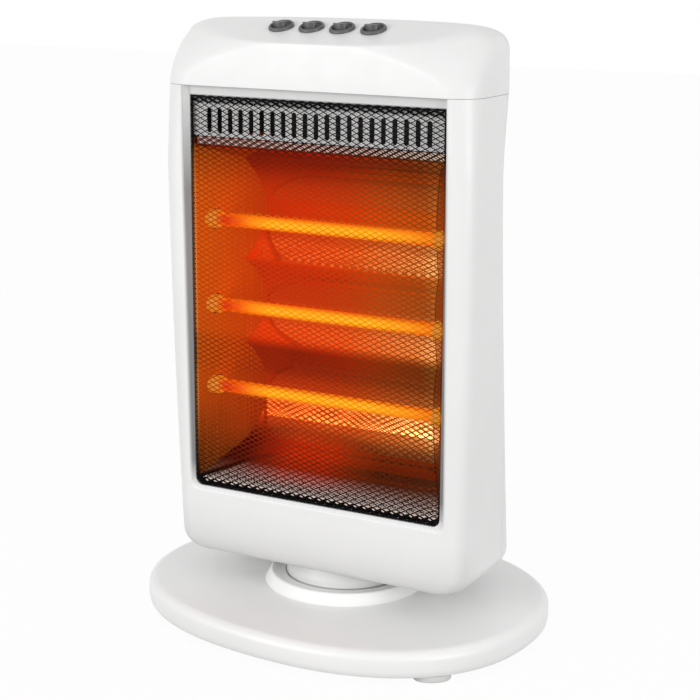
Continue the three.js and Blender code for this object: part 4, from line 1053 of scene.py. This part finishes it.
def louvres():
    slots = []
    for row in range(LOUVRE_ROWS):
        z = LOUVRE_BOTTOM + LOUVRE_PITCH * row
        for x in LOUVRE_CENTRES:
            outline = rounded_outline(x - LOUVRE_HALF, x + LOUVRE_HALF, z, z + LOUVRE_HEIGHT, 0.0017)
            slots.append(upright(outline, 0.030, 0.120))
    return slots


def rear_cover():
    shell = cut(keep(cut(body_form(), body_form(WALL)), below_cover()), ahead_of_seam(GAP / 2))
    wells, bores = [], []
    for x, z in REAR_SCREWS:
        seam = seam_at(z)
        wells.append(rod_along_y(0.0064, seam - 0.002, seam + 0.070, x, z))
        bores.append(rod_along_y(0.0042, seam + REAR_SCREW_FLOOR, seam + 0.090, x, z))
        bores.append(rod_along_y(SCREW_HOLE_R, seam - 0.009, seam + 0.020, x, z))
    wells = cut(keep(join(*wells), body_form()), ahead_of_seam(GAP / 2))
    shell = join(shell, wells, keep(handle_pocket(WALL), body_form()))
    return cut(shell, handle_pocket(0), neck_hole(), *bores, *louvres())


def panel_height(y, depth):
    """The height of the sloping panel at y, or of a surface at a depth below it."""
    return PANEL_FRONT.z + math.tan(PANEL_TILT) * (y - PANEL_FRONT.y) - depth / math.cos(PANEL_TILT)


def wall_to_panel(column, inset):
    """One column of the wall's points from the seam up, ended where it meets the panel."""
    wall = []
    under = 0
    for point in column:
        over = point.z - panel_height(point.y, inset)
        if over > 0:
            return [*wall, wall[-1].lerp(point, under / (under + over))]
        wall.append(point)
        under = -over
    return wall


def along(path, distance):
    for start, end in zip(path, path[1:]):
        length = (end - start).length
        if distance < length:
            return start.lerp(end, distance / length)
        distance -= length
    return path[-1].copy()


def soft_column(wall, spine, radius):
    """Points up the wall, round the panel's edge and in to the spine."""
    path = [*wall, spine]
    corner = wall[-1]
    edge = sum((end - start).length for start, end in zip(wall, wall[1:]))
    radius = min(radius, 0.9 * (spine - corner).length)
    before, after = along(path, edge - radius), along(path, edge + radius)
    points = [along(path, (edge - radius) * k / WALL_STEPS) for k in range(WALL_STEPS + 1)]
    for k in range(1, EDGE_STEPS):
        share = k / EDGE_STEPS
        points.append(before * (1 - share) ** 2 + corner * 2 * share * (1 - share) + after * share**2)
    return points + [after.lerp(spine, k / CAP_STEPS) for k in range(CAP_STEPS + 1)]


def top_skin(inset):
    """The top of the body with the sloping panel, whose edge is crisp in the middle and soft at the sides."""
    heights = [TOP_ROUND_START - step * 0.0045 for step in range(7, -1, -1)] + top_heights(40)
    top = BODY_TOP - inset
    spine_y = PANEL_FRONT.y + (top - panel_height(PANEL_FRONT.y, inset)) / math.tan(PANEL_TILT)
    walls = [wall_to_panel(column, inset) for column in zip(*(wall_plan(z, inset) for z in heights))]
    half = len(walls) // 2
    turning = sum(1 for wall in walls[: half + 1] if wall[-1].y < spine_y - SPINE_STEP)
    columns = []
    for i, wall in enumerate(walls):
        edge = wall[-1]
        place_in_half = min(i, len(walls) - 1 - i)
        if place_in_half < turning:
            x = SPINE_HALF * (place_in_half + 0.5) / turning
            y = spine_y - SPINE_STEP
        else:
            x = SPINE_HALF * (half - place_in_half) / (half - turning + 1)
            y = min(spine_y, edge.y - 0.0005)
        spine = Vector((math.copysign(x, half - i), y, min(top, panel_height(y, inset))))
        wide = clamped((abs(edge.x) - FLAT_EDGE_HALF) / 0.05)
        columns.append(soft_column(wall, spine, PANEL_EDGE_R + PANEL_EDGE_GROWTH * wide**1.5))
    return loft([list(ring) for ring in zip(*columns)])


def switch_place(x):
    return Matrix.Translation((x, SWITCH_Y, panel_height(SWITCH_Y, 0))) @ Matrix.Rotation(PANEL_TILT, 4, "X")


def top_cover():
    shell = keep(cut(top_skin(0), top_skin(WALL)), block(-FAR, FAR, -FAR, FAR, COVER_SEAM, 0.6))
    bores = [shifted(rod(BARREL_R + 0.0004, -0.020, 0.020, sides=64), switch_place(x)) for x in SWITCH_PLACES]
    return cut(shell, *bores)


def build_shells():
    place(front_frame(), "front_moulding", "frame_white_painted_shade", "white_shell", "front_frame")
    place(rear_cover(), "rear_moulding", "white", "white_shell", "rear_cover")
    place(top_cover(), "top_moulding", "white", "white_shell", "top_cover")


def neck():
    """The swivel neck: a waisted drum with a spigot in the collar and a flange inside the body."""
    flange = BODY_BOTTOM + WALL + GAP
    shoulder_top = NECK_SHOULDER + WALL
    bottom = BEARING_WALL_TOP - WALL
    profile = [(0.0075, bottom), (SPIGOT_R, bottom), (SPIGOT_R, NECK_SHOULDER)]
    profile += [(NECK_R - 0.0008, NECK_SHOULDER), (NECK_R, NECK_SHOULDER + 0.0008), (NECK_R, 0.0435)]
    profile += [(NECK_R - 0.0004, 0.0452), (NECK_R - 0.0016, 0.0478), (NECK_TOP_R + 0.0012, 0.0508)]
    profile += [(NECK_TOP_R + 0.0003, 0.0524), (NECK_TOP_R, 0.0540), (NECK_TOP_R, flange)]
    profile += [(NECK_TOP_R + 0.007, flange), (NECK_TOP_R + 0.007, flange + WALL)]
    profile += [(NECK_TOP_R - WALL, flange + WALL), (NECK_TOP_R - WALL, 0.053), (NECK_R - 0.003, 0.045)]
    profile += [(NECK_R - 0.003, shoulder_top), (SPIGOT_R - WALL, shoulder_top), (SPIGOT_R - WALL, 0.038)]
    drum = turned_ring([*profile, (0.0075, 0.038)], LARGE_TURN)
    below = block(-0.08, 0.08, -0.08, 0.08, 0.030, flange - 0.0001)
    behind_front = block(-0.08, 0.08, 0.001 - NECK_TOP_R, 0.08, 0.050, 0.070)
    drum = keep(drum, join(below, behind_front))
    holes = [rod(0.004, 0.030, 0.040, 0, 0.025)]
    for angle in (math.radians(degrees) for degrees in (-90, 30, 150)):
        holes.append(rod(SCREW_HOLE_R, 0.030, 0.040, 0.0435 * math.cos(angle), 0.0435 * math.sin(angle)))
    place(cut(drum, *holes), "neck_moulding", "neck_white_painted_shade", "white_shell", "neck")


# ---- guard and vent panel


def strand_bends(low, high, shift, row):
    """The bends of one zigzag strand as (x, rise), with its two cut ends."""
    half_pitch = MESH_PITCH_X / 2
    first = math.ceil((low - shift) / half_pitch)
    last = math.floor((high - shift) / half_pitch)
    rises = (-0.25, 0.25)
    bends = [(shift + bend * half_pitch, rises[(bend + row) % 2]) for bend in range(first, last + 1)]
    left_share = (bends[0][0] - low) / half_pitch
    right_share = (high - bends[-1][0]) / half_pitch
    if left_share > 0.04:
        bends.insert(0, (low, bends[0][1] * (1 - 2 * left_share)))
    if right_share > 0.04:
        bends.append((high, bends[-1][1] * (1 - 2 * right_share)))
    return bends


def strands(y, z0, z1, x0, x1, shift=0.0, width=STRAND_WIDTH):
    """Zigzag strands of slit and stretched sheet, each touching the next at its bends."""
    cosine, sine = math.cos(STRAND_TILT), math.sin(STRAND_TILT)
    corners = []
    for depth, height in ((-0.5, -0.5), (-0.5, 0.5), (0.5, 0.5), (0.5, -0.5)):
        dy, dz = depth * STRAND_THICKNESS, height * width
        corners.append((dy * cosine - dz * sine, dy * sine + dz * cosine))
    step_z = MESH_PITCH_Z / 2
    hem = HEM_WIDTH * 0.5
    vertices, faces = [], []
    for row in range(int((z1 - z0) / step_z) + 1):
        z = z0 + row * step_z
        half = GUARD_HALF - hem - corner_draw(WINDOW_CORNER_R, z - (GUARD_BOTTOM + hem))
        low, high = max(x0, -half), min(x1, half)
        if high - low < MESH_PITCH_X:
            continue
        bends = strand_bends(low, high, shift, row)
        start, last = len(vertices), len(bends) - 1
        vertices += [(x, y + dy, z + up * MESH_PITCH_Z + dz) for x, up in bends for dy, dz in corners]
        faces += ring_faces(4, [(i, i + 1) for i in range(last)], start)
        faces.append(tuple(start + corner for corner in (0, 1, 2, 3)))
        faces.append(tuple(start + 4 * last + corner for corner in (3, 2, 1, 0)))
    return solid(vertices, faces)


def hem_ring(inset, wave, y):
    """Points round the guard's edge, pushed in by the inset and by a wave at the pitch of the mesh."""
    outline = window_outline(GUARD_HALF, GUARD_BOTTOM, GUARD_TOP, 16)
    middle, half_height = (GUARD_TOP + GUARD_BOTTOM) / 2, (GUARD_TOP - GUARD_BOTTOM) / 2
    ring = []
    for (x0, z0), (x1, z1) in zip(outline, [*outline[1:], outline[0]]):
        pieces = max(1, round(math.hypot(x1 - x0, z1 - z0) / 0.0008))
        for share in (k / pieces for k in range(pieces)):
            x, z = x0 + (x1 - x0) * share, z0 + (z1 - z0) * share
            turns = x / MESH_PITCH_X if abs(x) < GUARD_HALF - WINDOW_CORNER_R else z / MESH_PITCH_Z
            push = inset + wave * (0.5 + 0.5 * math.cos(2 * math.pi * turns))
            rise = (z - middle) * (half_height - push) / half_height
            ring.append(Vector((x * (GUARD_HALF - push) / GUARD_HALF, y, middle + rise)))
    return ring


def guard():
    """The guard's net, its doubled edge and the folded rim that goes back to the reflector."""
    y, half, band = GUARD_FRONT_Y + 0.0004, GUARD_HALF, DOUBLED_BAND
    low, high = GUARD_BOTTOM + 0.0012, GUARD_TOP - 0.0012
    pieces = [strands(y, low, high, -half, half)]
    bands = [(low, low + band, -half, half), (high - band, high, -half, half)]
    bands += [(low, high, -half, -half + band + 0.003), (low, high, half - band - 0.003, half)]
    pieces += [strands(y + 0.0008, *spans, MESH_PITCH_X / 4, DOUBLED_WIDTH) for spans in bands]
    front, back, rear = GUARD_FRONT_Y, GUARD_FRONT_Y + 0.0008, REFLECTOR_FRONT_Y - GAP
    section = [(HEM_WIDTH, 0.0008, front), (0.0, 0.0006, front), (0.0, 0.0006, rear), (0.0006, 0.0, rear)]
    section += [(0.0006, 0.0, back), (HEM_WIDTH, 0.0008, back)]
    return join_meshes([*pieces, hoop([hem_ring(*corner) for corner in section])])


def vent_panel():
    outline = rounded_outline(-GUARD_HALF, GUARD_HALF, 0.4152, GUARD_TOP, 0.001, 3)
    sheet = upright(outline, REFLECTOR_FRONT_Y, REFLECTOR_FRONT_Y + 0.0009)
    slots = []
    for x in ((i - (VENT_SLOTS - 1) / 2) * VENT_PITCH for i in range(VENT_SLOTS)):
        slot = rounded_outline(x - VENT_HALF, x + VENT_HALF, 0.4182, 0.4388, 0.0022, 5)
        slots.append(upright(slot, REFLECTOR_FRONT_Y - 0.002, REFLECTOR_FRONT_Y + 0.004))
    return cut(sheet, *slots)


def build_window():
    place(guard(), "guard_screen", "guard", "guard_black", "guard_mesh")
    place(vent_panel(), "vent_grille", "vent", "vent_white", "vent_panel")


# ---- reflector and tubes


def reflector_half(y):
    """Half-width of the space between the flared side walls, at a depth y."""
    return LIP_HALF - 0.0012 - SIDE_FLARE * (y - REFLECTOR_FRONT_Y)


def reflector_section():
    """Front flange, sloping top, one trough per tube, sloping bottom, front flange."""
    between = [(high + low) / 2 for high, low in zip(TUBE_HEIGHTS, TUBE_HEIGHTS[1:])]
    ridges = [RIDGE_TOP, *between, RIDGE_BOTTOM]
    y = REFLECTOR_FRONT_Y
    line = [(y, 0.4144), (y, 0.4085), (y + 0.0014, 0.4066), (CUSP_Y, RIDGE_TOP)]
    for top, bottom in zip(ridges, ridges[1:]):
        for share in (i / TROUGH_STEPS for i in range(1, TROUGH_STEPS + 1)):
            depth = 1 - (2 * share - 1) ** 2
            line.append((CUSP_Y + (TROUGH_Y - CUSP_Y) * depth, top + (bottom - top) * share))
    return line + [(y + 0.0014, 0.1216), (y, 0.1195), (y, 0.1146)]


def behind(line, thickness):
    """The same line, moved back by the sheet's thickness."""
    moved = []
    for i, (y, z) in enumerate(line):
        y0, z0 = line[max(0, i - 1)]
        y1, z1 = line[min(len(line) - 1, i + 1)]
        length = math.hypot(y1 - y0, z1 - z0)
        moved.append((y - (z1 - z0) / length * thickness, z + (y1 - y0) / length * thickness))
    return moved


def reflector():
    """The troughed sheet, as wide as the side walls and the lip's round bottom corners leave room for."""
    line = reflector_section()
    outline = []
    for y, z in (*line, *reversed(behind(line, SHEET))):
        lip_half = LIP_HALF - GAP - corner_draw(WINDOW_CORNER_R, z - (LIP_BOTTOM + GAP))
        outline.append((min(reflector_half(y) - 0.0004, lip_half - 0.0001), y, z))
    shares = [2 * column / REFLECTOR_COLUMNS - 1 for column in range(REFLECTOR_COLUMNS + 1)]
    return loft([[Vector((share * half, y, z)) for half, y, z in outline] for share in shares])


def reflector_side(side):
    """A flared side wall with a window for each lamp holder; it stands clear of the window's corners."""
    y0, y1 = REFLECTOR_FRONT_Y, TROUGH_Y + 0.004
    x0, x1 = reflector_half(y0), reflector_half(y1)
    outline = [(x0, y0), (x0 + SHEET, y0), (x1 + SHEET, y1), (x1, y1)]
    if side < 0:
        outline = [(-x, y) for x, y in reversed(outline)]
    ends = (side * 0.108 - 0.016, side * 0.108 + 0.016)
    windows = [rod_along_x(HOLDER_R + 0.0008, *ends, TUBE_Y, z, 48) for z in TUBE_HEIGHTS]
    return cut(prism(outline, 0.1192, 0.414), *windows)


def lamp_holder(side, z):
    """A ceramic end piece: a round nose through the side wall, a stepped block behind it, a round socket."""
    outline = rounded_outline(TUBE_Y - 0.008, TUBE_Y + 0.008, z - 0.011, z + 0.011, 0.002)
    rear_block = rounded(sideways(outline, *sorted(side * x for x in HOLDER_BLOCK)), 0.0006)
    profile = [(0, 0), (HOLDER_R - 0.0012, 0), (HOLDER_R - 0.0003, 0.0004), (HOLDER_R, 0.0013)]
    profile += [(HOLDER_R, HOLDER_STEP), (0, HOLDER_STEP)]
    nose = turn(turned(profile, 64), side * math.pi / 2, "Y")
    body = join(rear_block, move(nose, (side * HOLDER_TIP, TUBE_Y, z)))
    ends = (side * 0.090 - 0.020, side * 0.090 + 0.020)
    return cut(body, rod_along_x(TUBE_R + GAP + 0.0001, *ends, TUBE_Y, z, 48))


def on_tube(piece, x, z):
    """Lays a piece turned about Z along a tube's axis."""
    return move(turn(piece, math.pi / 2, "Y"), (x, TUBE_Y, z))


def quartz_tube(z):
    """Clear quartz with drawn-in ends, pinched flat seals left out of sight in the holders."""
    end = [(TUBE_R - 0.0012, -TUBE_HALF), (TUBE_R - 0.0006, -TUBE_HALF)]
    end += [(TUBE_R - 0.0001, -TUBE_HALF + 0.0006), (TUBE_R, -TUBE_HALF + 0.002)]
    return on_tube(turned_ring([*end, *((r, -x) for r, x in reversed(end))], 48), 0, z)


def filament(z):
    """A wound coil on the tube's axis, with small discs that keep it off the quartz."""
    half = TUBE_HALF - 0.004
    steps = COIL_TURNS * COIL_STEPS
    rings = []
    for share in (i / steps for i in range(steps + 1)):
        angle = 2 * math.pi * COIL_TURNS * share
        outward = Vector((0, math.cos(angle), math.sin(angle)))
        centre = Vector((-half + 2 * half * share, 0, 0)) + outward * COIL_R
        arounds = [math.pi / 2 * corner for corner in range(4)]
        offsets = [outward * math.cos(around) + Vector((1, 0, 0)) * math.sin(around) for around in arounds]
        rings.append([centre + offset * COIL_WIRE_R + Vector((0, TUBE_Y, z)) for offset in offsets])
    pieces = [loft(rings)]
    outer = TUBE_R - 0.0017
    for x in SUPPORT_PLACES:
        disc = turned_ring([(0.0014, -0.0003), (outer, -0.0003), (outer, 0.0003), (0.0014, 0.0003)], 24)
        pieces.append(on_tube(disc, x, z))
    return join_meshes(pieces)


def plain_back(piece):
    """The faces turned away from the window keep the plain sheet."""
    piece.data.materials.append(MATERIALS["sheet_back"])
    for polygon in piece.data.polygons:
        if polygon.normal.y > 0.02:
            polygon.material_index = 1


def build_heat():
    slot = "polished_reflector"
    plain_back(place(reflector(), "reflector_troughs", "mirror", slot, "reflector", sharp=25))
    for name, side in SIDES:
        wall = reflector_side(side)
        plain_back(place(wall, f"reflector_wall_{name}", "side_mirror", slot, f"reflector_side_{name}"))
    for i, z in enumerate(TUBE_HEIGHTS, 1):
        place(quartz_tube(z), f"quartz_{i}", "quartz", "quartz", f"quartz_tube_{i}")
        place(filament(z), f"coil_{i}", "filament", "glowing_filament", f"filament_{i}")
        for name, side in SIDES:
            place(lamp_holder(side, z), f"holder_{name}_{i}", "ceramic", "ceramic", f"lamp_holder_{name}_{i}")


# ---- switches


def switch_housing():
    """The barrel in the panel and its domed bezel round a deep well."""
    profile = [(0, -0.017), (BARREL_R, -0.017), (BARREL_R, GAP), (BEZEL_R, GAP), (BEZEL_R, 0.0012)]
    profile += [(BEZEL_R - 0.0003, 0.0020), (BEZEL_R - 0.0009, 0.0026), (BEZEL_R - 0.0016, 0.0028)]
    profile += [(WELL_R + 0.0005, 0.0026), (WELL_R, 0.0020), (WELL_R - 0.0002, 0.0009)]
    return turned([*profile, (WELL_R - 0.0002, -0.009), (0, -0.009)], 64)


def rocker():
    """A rocker with a tall block at its raised front end and a low rear; its pivot is at the origin."""
    profile = [(-KEY_END, 0.0078), (-KEY_END, -0.0010), (-0.0060, -0.0036), (0, -0.0052), (0.0060, -0.0036)]
    profile += [(KEY_END, -0.0010), (KEY_END, 0.0046), (0.0060, 0.0040), (0.0034, 0.0004), (0.0010, -0.0006)]
    profile += [(-0.0010, -0.0002), (-0.0022, 0.0070), (-0.0030, 0.0078)]
    wedge = sideways(list(reversed(profile)), -KEY_HALF, KEY_HALF)
    return rounded(keep(wedge, rod(KEY_END + 0.0002, -0.010, 0.010, sides=64)), 0.0003)


def build_switches():
    rest = Matrix.Translation((0, 0, -ROCKER_PIVOT_DEPTH)) @ Matrix.Rotation(ROCKER_REST, 4, "X")
    for i, x in enumerate(SWITCH_PLACES, 1):
        housing = shifted(switch_housing(), switch_place(x))
        place(housing, f"switch_{i}", "switch", "switch_grey", f"switch_housing_{i}")
        key = shifted(rocker(), switch_place(x) @ rest)
        place(key, f"key_{i}", "switch_key", "switch_grey", f"rocker_{i}", f"rocker_{i}")


build_base()
build_shells()
neck()
build_window()
build_heat()
build_switches()
dress_packed_nodes()
add_camera()
add_world()
add_floor()
add_area_light("key", (-1.4, -2.8, 0.95), (0, 0, 0.3), (1.8, 1.4), 41)
add_area_light("fill", (2.8, -1.2, 0.7), (0, 0, 0.25), (1.6, 1.4), 32)
bpy.context.scene.view_settings.view_transform = "Standard"
